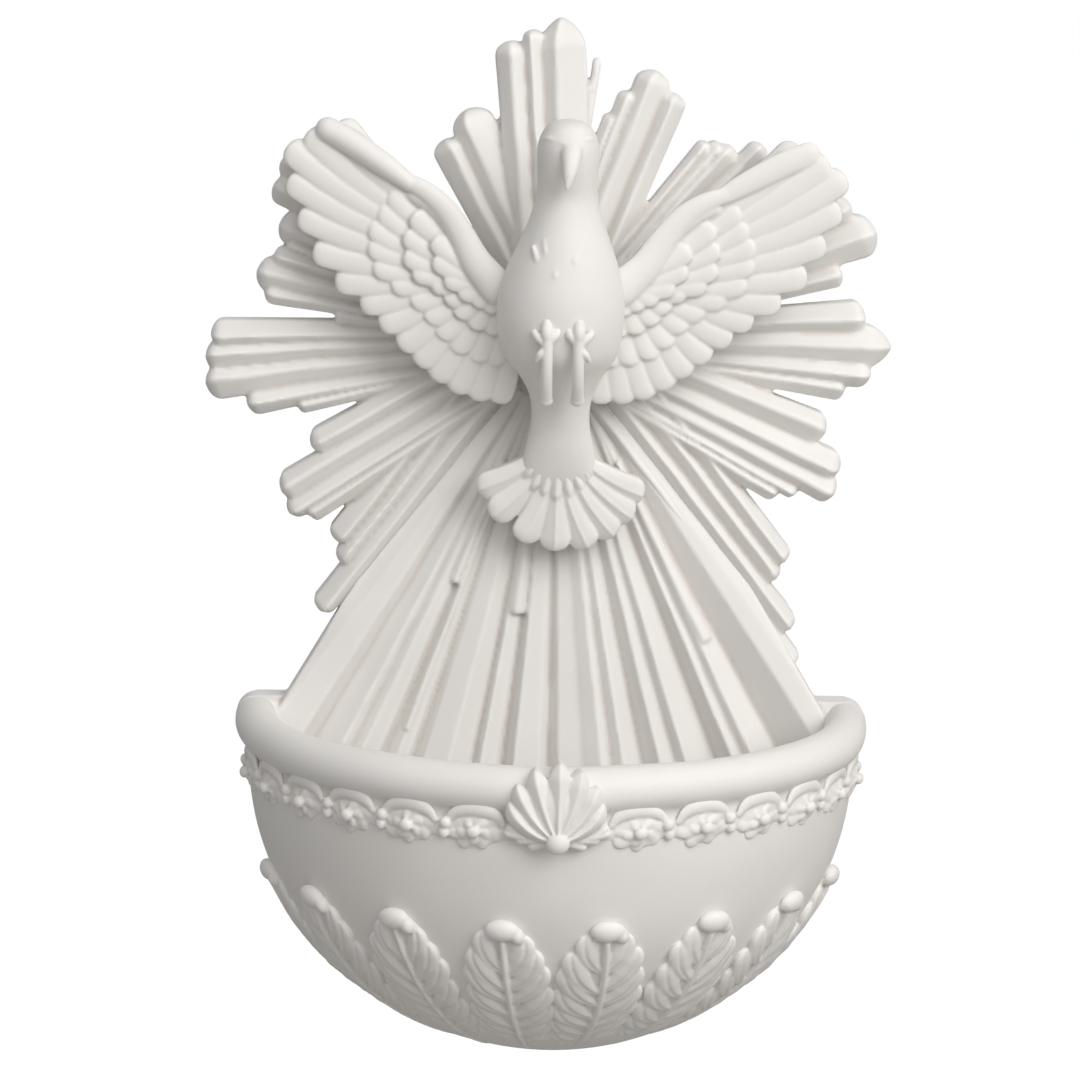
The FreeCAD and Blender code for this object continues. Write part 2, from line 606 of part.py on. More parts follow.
def make_hanger():
    """Steel keyhole plate with two countersunk holes."""
    body = doc.addObject("PartDesign::Body", "hanger_plate")
    point = FreeCAD.Vector
    normal = point(0, 0, 1)
    length, width, shift = size("hanger_length"), size("hanger_width"), size("hanger_shift")
    outline = sketch_on(body, "hanger_outline")
    corners = [point(-width / 2, shift - length / 2, 0), point(width / 2, shift - length / 2, 0),
               point(width / 2, shift + length / 2, 0), point(-width / 2, shift + length / 2, 0)]
    lines = [outline.addGeometry(Part.LineSegment(corners[i], corners[(i + 1) % 4])) for i in range(4)]
    for i in range(4):
        outline.addConstraint(Sketcher.Constraint("Coincident", lines[i], 2, lines[(i + 1) % 4], 1))
    for i in range(4):
        outline.addConstraint(Sketcher.Constraint("Vertical" if i % 2 else "Horizontal", lines[i]))
    named(outline, Sketcher.Constraint("DistanceX", lines[0], 1, lines[0], 2, width), "width",
          "Sizes.hanger_width")
    named(outline, Sketcher.Constraint("DistanceY", lines[1], 1, lines[1], 2, length), "length",
          "Sizes.hanger_length")
    named(outline, Sketcher.Constraint("DistanceX", lines[0], 1, -1, 1, width / 2), "left",
          "Sizes.hanger_width / 2")
    named(outline, Sketcher.Constraint("DistanceY", lines[0], 1, -1, 1, length / 2 - shift), "low",
          "Sizes.hanger_length / 2 - Sizes.hanger_shift")
    pad = body.newObject("PartDesign::Pad", "hanger_pad")
    pad.Profile = outline
    bind(pad, Length="Sizes.hanger_thickness")
    doc.recompute()

    entry_sketch = sketch_on(body, "keyhole_entry")
    entry = entry_sketch.addGeometry(Part.Circle(point(0, 0, 0), normal, size("keyhole_radius")))
    entry_sketch.addConstraint(Sketcher.Constraint("Coincident", entry, 3, -1, 1))
    named(entry_sketch, Sketcher.Constraint("Radius", entry, size("keyhole_radius")), "entry",
          "Sizes.keyhole_radius")
    slot_sketch = sketch_on(body, "keyhole_slot")
    half, travel = size("keyhole_slot_width") / 2, size("keyhole_travel")
    round_end = Part.Circle(point(0, travel, 0), normal, half)
    top = slot_sketch.addGeometry(Part.ArcOfCircle(round_end, 0, math.pi))
    left = slot_sketch.addGeometry(Part.LineSegment(point(-half, travel, 0), point(-half, 0, 0)))
    low = slot_sketch.addGeometry(Part.LineSegment(point(-half, 0, 0), point(half, 0, 0)))
    right = slot_sketch.addGeometry(Part.LineSegment(point(half, 0, 0), point(half, travel, 0)))
    for joint in ((top, 2, left, 1), (left, 2, low, 1), (low, 2, right, 1), (right, 2, top, 1)):
        slot_sketch.addConstraint(Sketcher.Constraint("Coincident", *joint))
    for line in (left, right):
        slot_sketch.addConstraint(Sketcher.Constraint("Vertical", line))
    slot_sketch.addConstraint(Sketcher.Constraint("PointOnObject", top, 3, -2))
    slot_sketch.addConstraint(Sketcher.Constraint("PointOnObject", low, 1, -1))
    slot_sketch.addConstraint(Sketcher.Constraint("PointOnObject", low, 2, -1))
    named(slot_sketch, Sketcher.Constraint("DistanceX", low, 1, low, 2, 2 * half), "slot",
          "Sizes.keyhole_slot_width")
    named(slot_sketch, Sketcher.Constraint("DistanceY", -1, 1, top, 3, travel), "travel",
          "Sizes.keyhole_travel")
    for profile in (entry_sketch, slot_sketch):
        pocket = body.newObject("PartDesign::Pocket", profile.Name + "_cut")
        pocket.Profile = profile
        pocket.Type = "ThroughAll"
        pocket.Midplane = True
    holes = sketch_on(body, "screw_holes")
    reach = size("screw_spacing") / 2
    for name, sign in (("low_hole", -1), ("high_hole", 1)):
        middle = point(0, shift + sign * reach, 0)
        hole = holes.addGeometry(Part.Circle(middle, normal, size("screw_head_radius")))
        holes.addConstraint(Sketcher.Constraint("PointOnObject", hole, 3, -2))
        named(holes, Sketcher.Constraint("Radius", hole, size("screw_head_radius")), name + "_radius",
              "Sizes.screw_head_radius + Sizes.screw_clearance")
        text = "Sizes.hanger_shift + Sizes.screw_spacing / 2" if sign > 0 else \
            "Sizes.screw_spacing / 2 - Sizes.hanger_shift"
        ends = (-1, 1, hole, 3) if sign > 0 else (hole, 3, -1, 1)
        named(holes, Sketcher.Constraint("DistanceY", *ends, abs(shift + sign * reach)), name + "_place",
              text)
    drilled = body.newObject("PartDesign::Pocket", "screw_hole_cut")
    drilled.Profile = holes
    drilled.Type = "ThroughAll"
    drilled.Midplane = True
    body.Tip = drilled
    nodes["hanger_plate"] = body


def make_screws():
    """Two countersunk screws, their heads flush in the hanger."""
    screws = []
    for name, sign in (("screw_low", "-"), ("screw_high", "+")):
        height = "Sizes.hanger_shift " + sign + " Sizes.screw_spacing / 2"
        head = doc.addObject("Part::Cylinder", name + "_head")
        bind(head, Radius="Sizes.screw_head_radius", Height="Sizes.hanger_thickness")
        shank = doc.addObject("Part::Cylinder", name + "_shank")
        bind(shank, Radius="Sizes.screw_radius", Height="Sizes.screw_length")
        for part in (head, shank):
            part.Placement.Rotation = FreeCAD.Rotation(FreeCAD.Vector(1, 0, 0), 90)
            bind(part, Placement__Base__z=height)
        whole = doc.addObject("Part::Fuse", name)
        whole.Base = head
        whole.Tool = shank
        screws.append(whole)
    pair = doc.addObject("Part::Compound", "hanger_screws")
    pair.Links = screws
    nodes["hanger_screws"] = pair


# ---------------------------------------------------------------- dove

def make_dove():
    """Body lofted through round sections, with head, beak and the block that sits on the plate's seat."""
    body = doc.addObject("PartDesign::Body", "dove_body")
    start = FreeCAD.Vector(size("head_shift"), -size("breast_depth"), 0)
    sketches = []
    for name, height, shift, depth, radius in BODY_SECTIONS:
        sketch = sketch_on(body, name + "_section", "XY_Plane")
        rough = size("rump_radius")
        circle = sketch.addGeometry(Part.Circle(start, FreeCAD.Vector(0, 0, 1), rough))
        named(sketch, Sketcher.Constraint("Radius", circle, rough), "radius", with_sizes(radius))
        named(sketch, Sketcher.Constraint("DistanceX", -1, 1, circle, 3, start.x), "shift",
              with_sizes(shift))
        named(sketch, Sketcher.Constraint("DistanceY", circle, 3, -1, 1, -start.y), "depth",
              with_sizes(depth))
        sketch.setExpression("AttachmentOffset.Base.z", with_sizes(height))
        sketches.append(sketch)
    torso = body.newObject("PartDesign::AdditiveLoft", "torso")
    torso.Profile = sketches[0]
    torso.Sections = sketches[1:]
    doc.recompute()
    head = body.newObject("PartDesign::AdditiveEllipsoid", "head")
    bind(head, Radius1="Sizes.head_radius", Radius2="Sizes.head_length", Radius3="Sizes.head_radius",
         AttachmentOffset__Base__x="Sizes.head_shift", AttachmentOffset__Base__y="-Sizes.head_depth",
         AttachmentOffset__Base__z="Sizes.breast_height + Sizes.neck_span")
    head.AttachmentOffset.Rotation = FreeCAD.Rotation(FreeCAD.Vector(0, 0, 1), 90)
    beak = body.newObject("PartDesign::AdditiveCone", "beak")
    bind(beak, Radius1="Sizes.beak_radius", Radius2="Sizes.beak_tip_radius", Height="Sizes.beak_length",
         AttachmentOffset__Base__x="Sizes.head_shift",
         AttachmentOffset__Base__y="-Sizes.head_depth - Sizes.beak_forward",
         AttachmentOffset__Base__z="Sizes.breast_height + Sizes.neck_span - Sizes.beak_dip")
    beak.AttachmentOffset.Rotation = FreeCAD.Rotation(FreeCAD.Vector(1, 0, 0), BEAK_LEAN)
    block = body.newObject("PartDesign::AdditiveCylinder", "seat_block")
    bind(block, Radius="Sizes.seat_radius - Sizes.seat_margin",
         Height="Sizes.breast_depth - Sizes.seat_depth", AttachmentOffset__Base__y="-Sizes.seat_depth",
         AttachmentOffset__Base__z="Sizes.seat_height")
    block.AttachmentOffset.Rotation = FreeCAD.Rotation(FreeCAD.Vector(1, 0, 0), 90)
    back = body.newObject("PartDesign::SubtractiveBox", "flat_back")
    bind(back, Length="2 * Sizes.seat_radius", Width="Sizes.seat_depth", Height="2 * Sizes.seat_radius",
         AttachmentOffset__Base__x="-Sizes.seat_radius", AttachmentOffset__Base__y="-Sizes.seat_depth",
         AttachmentOffset__Base__z="Sizes.seat_height - Sizes.seat_radius")
    socket = body.newObject("PartDesign::SubtractiveCylinder", "tenon_socket")
    bind(socket, Radius="Sizes.tenon_radius + Sizes.tenon_clearance",
         Height="Sizes.tenon_length + 2 * Sizes.tenon_clearance",
         AttachmentOffset__Base__y="-Sizes.seat_depth", AttachmentOffset__Base__z="Sizes.seat_height")
    socket.AttachmentOffset.Rotation = FreeCAD.Rotation(FreeCAD.Vector(1, 0, 0), 90)
    for primitive in (head, beak, block, back, socket):
        primitive.AttachmentSupport = [(origin_plane(body, "XY_Plane"), "")]
        primitive.MapMode = "FlatFace"
    body.Tip = socket
    nodes["dove_body"] = body
    return body


def with_sizes(text):
    """Write the sheet's name before every size named in a short expression."""
    words = text.split()
    return " ".join("Sizes." + word if word in SIZES else word for word in words)


def wing_blank(mirror, droop):
    """All feathers of one wing: flight feathers, rows of coverts that stand forward in steps, and the arm."""
    def placed(point):
        x, y = turned(point, droop, SHOULDER)
        return (mirror * x, y)

    floor = size("breast_depth") - size("wing_drop")
    depth, step = size("wing_depth"), size("covert_step")
    rise, slope, waist = size("feather_rise"), size("feather_slope"), size("feather_waist")
    solids = []
    last = len(FLIGHT_TIPS) - 1
    for index, tip in enumerate(FLIGHT_TIPS):
        share = index / last
        root = curve_point(FLIGHT_ROOTS, share)
        width = size("feather_width") * (1.0 - size("feather_taper") * share)
        lift = size("feather_stagger") * (index % 2)
        depths = (depth + slope + lift, depth - slope + lift)
        solids.append(blade(placed(root), placed(tip), width * waist, width, floor, depths, (rise, rise)))
    for row, (count, reach) in enumerate(COVERT_ROWS, start=1):
        top = depth + row * step
        for index in range(count):
            share = (index + 0.5) / count
            spot = share * last
            near = min(int(spot), last - 1)
            flight_tip = between(FLIGHT_TIPS[near], FLIGHT_TIPS[near + 1], spot - near)
            arm = curve_point(LEADING_EDGE, share)
            tip = between(arm, flight_tip, reach)
            lift = size("feather_stagger") * (index % 2)
            width = size("covert_width") * (1.0 - size("covert_taper") * row)
            depths = (top + lift, top + lift - slope)
            solids.append(blade(placed(arm), placed(tip), width * waist, width, floor, depths, (rise, rise),
                                SMALL_TIP_FACETS))
    top = depth + (len(COVERT_ROWS) + 1) * step
    for index in range(ARM_SEGMENTS):
        start = curve_point(LEADING_EDGE, (index + 1) / ARM_SEGMENTS)
        end = curve_point(LEADING_EDGE, max(index - size("arm_lap"), 0) / ARM_SEGMENTS)
        width = size("arm_width")
        height = top + size("arm_step") * index
        solids.append(blade(placed(start), placed(end), width, width, floor, (height, height),
                            (size("arm_rise"), size("arm_rise"))))
    return joined(solids)


def make_wings(dove):
    for name, mirror, droop in (("left_wing", 1, 0.0), ("right_wing", -1, size("right_wing_droop"))):
        blank = feature(name + "_blank", wing_blank(mirror, droop), upright())
        nodes[name] = cut(name, blank, dove)


def make_tail(dove):
    """Fan of tail feathers with a row of short coverts at its root."""
    root = (size("body_shift"), size("tail_height"))
    floor = size("breast_depth") - size("tail_drop")
    depth, slope = size("tail_depth"), size("feather_slope")
    rises = (size("feather_rise"), size("feather_rise"))
    solids = []
    for index, (bearing, reach) in enumerate(TAIL_FEATHERS):
        lift = size("feather_stagger") * (index % 2)
        solids.append(blade(ahead(root, bearing, size("tail_start")), ahead(root, bearing, reach),
                            size("tail_root_width"), size("tail_width"), floor,
                            (depth + slope + lift, depth - slope + lift), rises))
    top = depth + size("tail_covert_rise")
    for bearing in TAIL_COVERTS:
        start, tip = (ahead(root, bearing, size(reach)) for reach in ("tail_start", "tail_covert_length"))
        solids.append(blade(start, tip, size("tail_root_width"), size("tail_covert_width"), floor,
                            (top, top - slope), rises, SMALL_TIP_FACETS))
    blank = feature("dove_tail_blank", joined(solids), upright())
    nodes["dove_tail"] = cut("dove_tail", blank, dove)


def make_legs(dove):
    """Shins laid against the belly, each with three forward claws at the top."""
    for name, side in (("left_leg", -1), ("right_leg", 1)):
        x = size("body_shift") + side * size("leg_spacing") / 2
        floor = size("breast_depth")
        top = size("breast_radius") + size("shin_rise")
        width, ridge = size("shin_width"), size("shin_ridge")
        solids = [blade((x, size("shin_top")), (x, size("shin_foot")), width, width, floor,
                        (top, top - size("shin_slope")), (ridge, ridge), SMALL_TIP_FACETS)]
        ankle = (x, size("ankle_height"))
        claw_width, claw_rise = size("claw_width"), size("claw_rise")
        for spread in CLAWS:
            tip = ahead(ankle, 90 + spread, size("claw_length"))
            solids.append(blade(ankle, tip, claw_width, claw_width, floor, (top + claw_rise, top),
                                (claw_rise, claw_rise), SMALL_TIP_FACETS))
        blank = feature(name + "_blank", joined(solids), upright())
        nodes[name] = cut(name, blank, dove)


# ---------------------------------------------------------------- relief on the bowl

def on_bowl(solid, below, around):
    """Turn a relief piece drawn at the front of the bowl's equator down and round the sphere."""
    centre = FreeCAD.Vector(0, 0, 0)
    turned_solid = solid.copy()
    turned_solid.rotate(centre, FreeCAD.Vector(1, 0, 0), below)
    turned_solid.rotate(centre, FreeCAD.Vector(0, 1, 0), around)
    return turned_solid


def leaf_form():
    """Acanthus leaf: pairs of leaflets along a midrib, with a curled tip."""
    floor = size("bowl_radius") + size("bond_line")
    depth, rise, root = size("leaflet_depth"), size("leaflet_rise"), size("leaflet_root")
    curl = blade((0, -size("curl_stem")), (0, size("curl_reach")), root, size("curl_width"), floor,
                 (depth, depth + rise), (rise, size("curl_rise")))
    solids = [on_bowl(curl, size("curl_below"), 0.0)]
    for below, share, spread in LEAFLET_ROWS:
        for side in (-1, 1):
            tip = ahead((0, 0), 90 - side * spread, size("leaflet_length") * share)
            width = size("leaflet_width") * (1 + share) / 2
            facets = SMALL_TIP_FACETS if share > LARGE_LEAFLET else FINE_TIP_FACETS
            leaflet = blade((0, -root / 2), tip, root, width, floor, (depth, depth), (rise, rise), facets)
            solids.append(on_bowl(leaflet, below, 0.0))
    reach = size("bowl_radius") * math.tan(math.radians(size("rib_pitch") / 2)) + size("rib_lap")
    width, top = size("rib_width"), size("rib_depth")
    rises = (size("rib_rise"), size("rib_rise"))
    rib = blade((0, -reach), (0, reach), width, width, floor, (top, top), rises, FINE_TIP_FACETS)
    for step in range(int(size("rib_count"))):
        solids.append(on_bowl(rib, size("rib_first") + step * size("rib_pitch"), 0.0))
    return joined(solids)


def bowl_frame(turn=0.0):
    """Placement of the bowl's sphere centre, with the relief frame stood upright and turned about +Z."""
    centre = FreeCAD.Vector(0, -size("plate_depth"), -size("bowl_centre_drop"))
    spin = FreeCAD.Rotation(FreeCAD.Vector(0, 0, 1), turn)
    return FreeCAD.Placement(centre, spin.multiply(FreeCAD.Rotation(FreeCAD.Vector(1, 0, 0), 90)))


def make_leaves():
    leaf = leaf_form()
    count = int(size("leaf_count"))
    for index in range(count):
        step = index - count // 2
        side = 1 if step >= 0 else -1
        rank = step if step >= 0 else -step - 1
        turn = side * (size("leaf_first") + rank * size("leaf_pitch"))
        name = "acanthus_leaf_%d" % (index + 1)
        nodes[name] = feature(name, leaf, bowl_frame(turn))


def rosette(floor):
    """Five round petals about a raised heart."""
    reach = size("rosette_radius")
    depth, rise = size("petal_depth"), size("petal_rise")
    heart, top = size("heart_width"), size("heart_depth")
    solids = []
    for petal in range(PETALS):
        tip = ahead((0, 0), 90 + 360 * petal / PETALS, reach)
        solids.append(blade((0, 0), tip, heart / 2, reach * PETAL_WIDTH, floor, (depth, depth),
                            (rise, rise), FINE_TIP_FACETS))
    solids.append(blade((0, -heart / 2), (0, heart / 2), heart, heart, floor, (top, top), (rise, rise),
                        FINE_TIP_FACETS))
    return solids


def scroll(floor, side, depth):
    """Crescent over a rosette: a chain of short blades that curls down towards the crest."""
    reach = size("rosette_radius") + size("scroll_margin")
    width, rise = size("scroll_width"), size("scroll_rise")

    def place(step):
        return ahead((0, 0), 90 - side * (SCROLL_START - SCROLL_TURN * step), reach)

    return [blade(place(step), place(step + SCROLL_LAP), width, width, floor, (depth, depth), (rise, rise),
                  FINE_TIP_FACETS) for step in range(SCROLL_PIECES)]


def make_garlands():
    """Rosettes and scrolls on a thin band, each length tangent to the bowl's wall and clear of its roll."""
    floor = size("bowl_radius") + size("bond_line")
    below = math.degrees(math.asin(size("rosette_drop") / size("bowl_radius")))
    half = size("bowl_radius") * math.tan(math.radians(size("rosette_pitch") / 2)) + size("band_lap")
    roll_low = size("rosette_drop") + size("rim_height") - size("roll_radius") - size("roll_gap")
    top = size("rosette_radius") + size("scroll_margin") + size("scroll_width") / 2 - size("rosette_drop")
    under = min(size("rim_height") - top, size("roll_radius"))
    roll_clear = math.sqrt(size("roll_radius") ** 2 - under ** 2) - size("roll_offset")
    thickness = size("band_thickness")
    room = Part.makeBox(4 * half, 4 * half, roll_clear, FreeCAD.Vector(-2 * half, roll_low, floor))
    for name, side in (("left_garland", -1), ("right_garland", 1)):
        band = blade((-half, 0), (half, 0), size("band_height"), size("band_height"), floor,
                     (thickness, thickness), (thickness / 4, thickness / 4), FINE_TIP_FACETS)
        crescent = scroll(floor, side, roll_clear + size("scroll_lip"))
        motif = joined([band] + rosette(floor) + crescent).cut(room)
        solids = []
        for index in range(int(size("rosette_count"))):
            around = side * (size("rosette_first") + index * size("rosette_pitch"))
            solids.append(on_bowl(motif, below, around))
        nodes[name] = feature(name, joined(solids), bowl_frame())


def make_crest():
    """Seven-lobed palmette with a bead and husks, standing on the rolled rim, its foot on the wall below."""
    wall = size("bowl_radius") + size("bond_line")
    floor = wall + size("roll_radius") - size("roll_offset")
    base = (0, -size("crest_drop"))
    depth, rise, bead = size("crest_depth"), size("crest_rise"), size("bead_radius")
    solids = []
    for index, (lean, share) in enumerate(CREST_LOBES):
        tip = ahead(base, 90 - lean, size("crest_height") * share)
        lift = size("crest_stagger") * (index % 2)
        solids.append(blade(base, tip, bead / 2, size("crest_lobe_width"), floor, (depth, depth + lift),
                            (rise, rise), SMALL_TIP_FACETS))
    foot_low = base[1] - bead
    foot_top = size("rim_height") - size("roll_radius") - size("roll_gap")
    foot = FreeCAD.Vector(-bead, foot_low, wall)
    solids.append(Part.makeBox(2 * bead, foot_top - foot_low, floor - wall + depth, foot))
    for lean in HUSKS:
        tip = ahead(base, 90 - lean, size("husk_length") + bead)
        solids.append(blade(base, tip, bead, size("husk_width"), wall, (floor - wall + depth, depth),
                            (rise, rise), FINE_TIP_FACETS))
    solids.append(Part.makeSphere(bead, FreeCAD.Vector(base[0], base[1], floor + depth)))
    nodes["shell_crest"] = feature("shell_crest", joined(solids), bowl_frame())


make_bowl()
dove = make_dove()
make_hanger()
make_screws()
make_plate()
make_wings(dove)
make_tail(dove)
make_legs(dove)
make_leaves()
make_garlands()
make_crest()
doc.recompute()

for obj in doc.Objects:
    if "Invalid" in obj.State or "Error" in obj.State:
        raise RuntimeError(obj.Name + " did not recompute: " + ", ".join(obj.State))

os.makedirs("parts", exist_ok=True)
for name, obj in nodes.items():
    obj.Label = name
    shape = obj.Shape
    if shape.isNull() or not shape.isValid():
        raise RuntimeError(name + " has no valid shape")
    shape.exportStep("parts/" + name + ".step")
    print(name, len(shape.Solids), round(shape.Volume))
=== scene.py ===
import bpy
import math
import numpy as np
from mathutils import Matrix, Vector


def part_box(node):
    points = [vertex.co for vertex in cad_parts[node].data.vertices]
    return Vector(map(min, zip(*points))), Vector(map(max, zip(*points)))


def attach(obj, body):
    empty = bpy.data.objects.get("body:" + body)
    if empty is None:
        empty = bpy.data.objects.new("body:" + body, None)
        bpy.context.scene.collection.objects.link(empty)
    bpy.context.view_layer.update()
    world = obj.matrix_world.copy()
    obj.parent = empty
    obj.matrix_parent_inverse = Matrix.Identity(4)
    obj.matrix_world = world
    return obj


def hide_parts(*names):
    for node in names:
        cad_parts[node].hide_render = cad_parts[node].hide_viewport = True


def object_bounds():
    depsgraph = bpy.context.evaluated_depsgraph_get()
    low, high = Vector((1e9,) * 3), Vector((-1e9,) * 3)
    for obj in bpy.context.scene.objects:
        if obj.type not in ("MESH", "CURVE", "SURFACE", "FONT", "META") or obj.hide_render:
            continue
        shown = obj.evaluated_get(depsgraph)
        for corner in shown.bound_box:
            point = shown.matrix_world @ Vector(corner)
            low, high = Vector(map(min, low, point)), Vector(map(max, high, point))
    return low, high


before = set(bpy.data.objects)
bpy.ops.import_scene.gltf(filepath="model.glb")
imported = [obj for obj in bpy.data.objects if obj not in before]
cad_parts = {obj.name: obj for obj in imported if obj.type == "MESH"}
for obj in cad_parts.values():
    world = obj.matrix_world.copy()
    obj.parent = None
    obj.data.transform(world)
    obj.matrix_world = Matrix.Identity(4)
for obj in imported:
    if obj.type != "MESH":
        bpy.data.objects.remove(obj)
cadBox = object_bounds()
mm = 0.001  # in metres
flatBack = 3.0  # mm off the wall up to which a casting stays true
scene = bpy.context.scene

# relief pieces are drawn in millimetres, x to the right, y up and z out of the wall


def toLinear(code):
    parts = [int(code[i:i + 2], 16) / 255 for i in (1, 3, 5)]
    return [p / 12.92 if p <= 0.04045 else ((p + 0.055) / 1.055) ** 2.4 for p in parts] + [1.0]


def backOf(node):  # how far a CAD node's back stands off the wall
    return -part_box(node)[1][1] / mm


def ahead(point, bearing, reach):
    angle = math.radians(bearing)
    return (point[0] + reach * math.cos(angle), point[1] + reach * math.sin(angle))


def turned(point, degrees, centre=(0.0, 0.0)):
    angle = math.radians(degrees)
    x, y = point[0] - centre[0], point[1] - centre[1]
    return (centre[0] + x * math.cos(angle) - y * math.sin(angle),
            centre[1] + x * math.sin(angle) + y * math.cos(angle))


def between(start, end, share):
    return tuple(a + (b - a) * share for a, b in zip(start, end))


def curvePoint(controls, share):
    while len(controls) > 1:
        controls = [between(a, b, share) for a, b in zip(controls, controls[1:])]
    return controls[0]


def alongRun(values, share):  # a value between listed ones, first at 0 and last at 1
    values = np.atleast_1d(values)
    return np.interp(share, np.linspace(0, 1, len(values)), values)


def smoothRun(knots, values, spots):  # Catmull-Rom through the values
    low = np.clip(spots.astype(int), 0, len(knots) - 2)
    t = spots - low
    a, b, c, d = [values[np.clip(low + shift, 0, len(knots) - 1)] for shift in (-1, 0, 1, 2)]
    return 0.5 * (2 * b + (c - a) * t + (2 * a - 5 * b + 4 * c - d) * t ** 2 + (3 * b - a - 3 * c + d) * t ** 3)


def skin(rings):  # closes a stack of rings into one shell
    stations, around = rings.shape[:2]
    index = np.arange(stations * around).reshape(stations, around)
    beside = np.roll(index, -1, axis=1)
    quads = np.stack([index[:-1], beside[:-1], beside[1:], index[1:]], axis=-1).reshape(-1, 4)
    return rings.reshape(-1, 3), quads.tolist() + [index[0][::-1].tolist(), index[-1].tolist()]


# lower limits that keep every ring of a shell open; share and end are parts of a pad's length
least = {"share": 0.9996, "end": 0.9, "half": 0.02, "height": 0.05, "radius": 0.05, "pole": 0.04, "turn": 0.05}


# one feather, reed or leaflet, its widths and heights listed from root to tip
def pad(root, tip, half, floor, top, crown=0.8, sharp=1.8, peak=0.0, bend=0.0, tilt=0.0, lip=0.5, tipFall=0.6,
        roundness=1.0, point=2.0, vein=0.0, veinHalf=0.35, veinPlace=0.0, stations=28, across=19):
    root, tip = np.array(root, float), np.array(tip, float)
    length = float(np.linalg.norm(tip - root))
    along = (tip - root) / length
    left = np.array([-along[1], along[0]])
    share = np.sin(np.linspace(0, 1, stations) * math.pi / 2)
    share[-1] = least["share"]
    end = min(half[-1] * roundness, length * least["end"])  # the length of the rounded tip
    beyond = np.clip((share * length - (length - end)) / end, 0, 1)
    taper = (1 - beyond ** point) ** (1 / point)
    halfWidth = np.maximum(alongRun(half, share) * taper, least["half"])
    middle = root + np.outer(share * length, along) + np.outer(4 * bend * share * (1 - share), left)
    heading = along + np.outer(4 * bend * (1 - 2 * share) / length, left)
    heading /= np.linalg.norm(heading, axis=1)[:, None]
    sideways = np.stack([-heading[:, 1], heading[:, 0]], axis=1)
    v = np.sin(np.linspace(-1, 1, across) * math.pi / 2)
    off = np.where(v < peak, (peak - v) / (1 + peak), (v - peak) / (1 - peak))
    height = floor + alongRun(top, share)[:, None]
    height = height + (1 - off ** sharp)[None, :] * (alongRun(crown, share) * np.sqrt(taper))[:, None]
    height = height - lip * (1 - np.sqrt(1 - np.abs(v) ** 4))[None, :] - tipFall * (1 - taper)[:, None]
    height = height + tilt * v[None, :] * halfWidth[:, None]
    height = height + vein * np.exp(-((v - veinPlace)[None, :] * halfWidth[:, None] / veinHalf) ** 2)
    height = np.maximum(height, floor + least["height"])
    flat = middle[:, None, :] + sideways[:, None, :] * (v[None, :] * halfWidth[:, None])[:, :, None]
    upper = np.concatenate([flat, height[:, :, None]], axis=2)
    lower = np.concatenate([flat[:, [-1, 0], :], np.full((stations, 2, 1), float(floor))], axis=2)
    return np.concatenate([upper, lower], axis=1)


capTurns = np.array([1.45, 1.2, 0.95, 0.7, 0.35])  # rings of a round end, in radians from where it starts


def limb(points, radii, flat=1.0, around=28, steps=10):  # a tube through points, with round ends
    points, radii = np.array(points, float), np.array(radii, float)
    spots = np.linspace(0, len(points) - 1, (len(points) - 1) * steps + 1)
    knots = np.arange(len(points))
    path = np.stack([smoothRun(knots, points[:, k], spots) for k in range(3)], axis=1)
    size = np.maximum(smoothRun(knots, radii, spots), least["radius"])
    heading = np.gradient(path, axis=0)
    heading /= np.linalg.norm(heading, axis=1)[:, None]
    for end, way, order in ((0, -1, 1), (-1, 1, -1)):
        cap = path[end] + heading[end] * way * size[end] * np.sin(capTurns)[::order, None]
        capSize = size[end] * np.cos(capTurns)[::order]
        capHeading = np.repeat(heading[[end]], len(capTurns), axis=0)
        stack = (cap, path), (capSize, size), (capHeading, heading)
        path, size, heading = [np.concatenate(pair[::order]) for pair in stack]
    acrossDir = np.cross(heading, [0.0, 0.0, 1.0])
    acrossDir[np.linalg.norm(acrossDir, axis=1) < least["turn"]] = (1.0, 0.0, 0.0)  # where it runs straight out
    acrossDir /= np.linalg.norm(acrossDir, axis=1)[:, None]
    upDir = np.cross(acrossDir, heading)
    angle = np.linspace(0, 2 * math.pi, around, endpoint=False)[None, :, None]
    ring = np.cos(angle) * acrossDir[:, None, :] + flat * np.sin(angle) * upDir[:, None, :]
    return path[:, None, :] + ring * size[:, None, None]


def bead(centre, radii, lean=0.0, around=28, rows=17):  # an ellipsoid, leaned in its own plane
    polar = np.linspace(least["pole"], math.pi - least["pole"], rows)
    angle = np.linspace(0, 2 * math.pi, around, endpoint=False)
    x = radii[0] * np.sin(polar)[:, None] * np.cos(angle)[None, :]
    y = radii[1] * np.cos(polar)[:, None] * np.ones(around)[None, :]
    z = radii[2] * np.sin(polar)[:, None] * np.sin(angle)[None, :]
    turn = math.radians(lean)
    return np.stack([centre[0] + x * math.cos(turn) - y * math.sin(turn),
                     centre[1] + x * math.sin(turn) + y * math.cos(turn), centre[2] + z], axis=2)


def slab(outline, low, high):  # a flat plate from a plane outline
    points = np.array(outline, float)
    return np.stack([np.column_stack([points, np.full(len(points), level)]) for level in (low, high)])


def disc(centre, radius, low, high, count=96):
    angle = np.linspace(0, 2 * math.pi, count, endpoint=False)
    edge = np.column_stack([centre[0] + radius * np.cos(angle), centre[1] + radius * np.sin(angle)])
    return slab(edge, low, high)


def upright(p):  # stands a relief shell against the wall
    return np.stack([p[..., 0], -p[..., 2], p[..., 1]], axis=-1)


# casting: the clay forms become one skin, soft at every edge

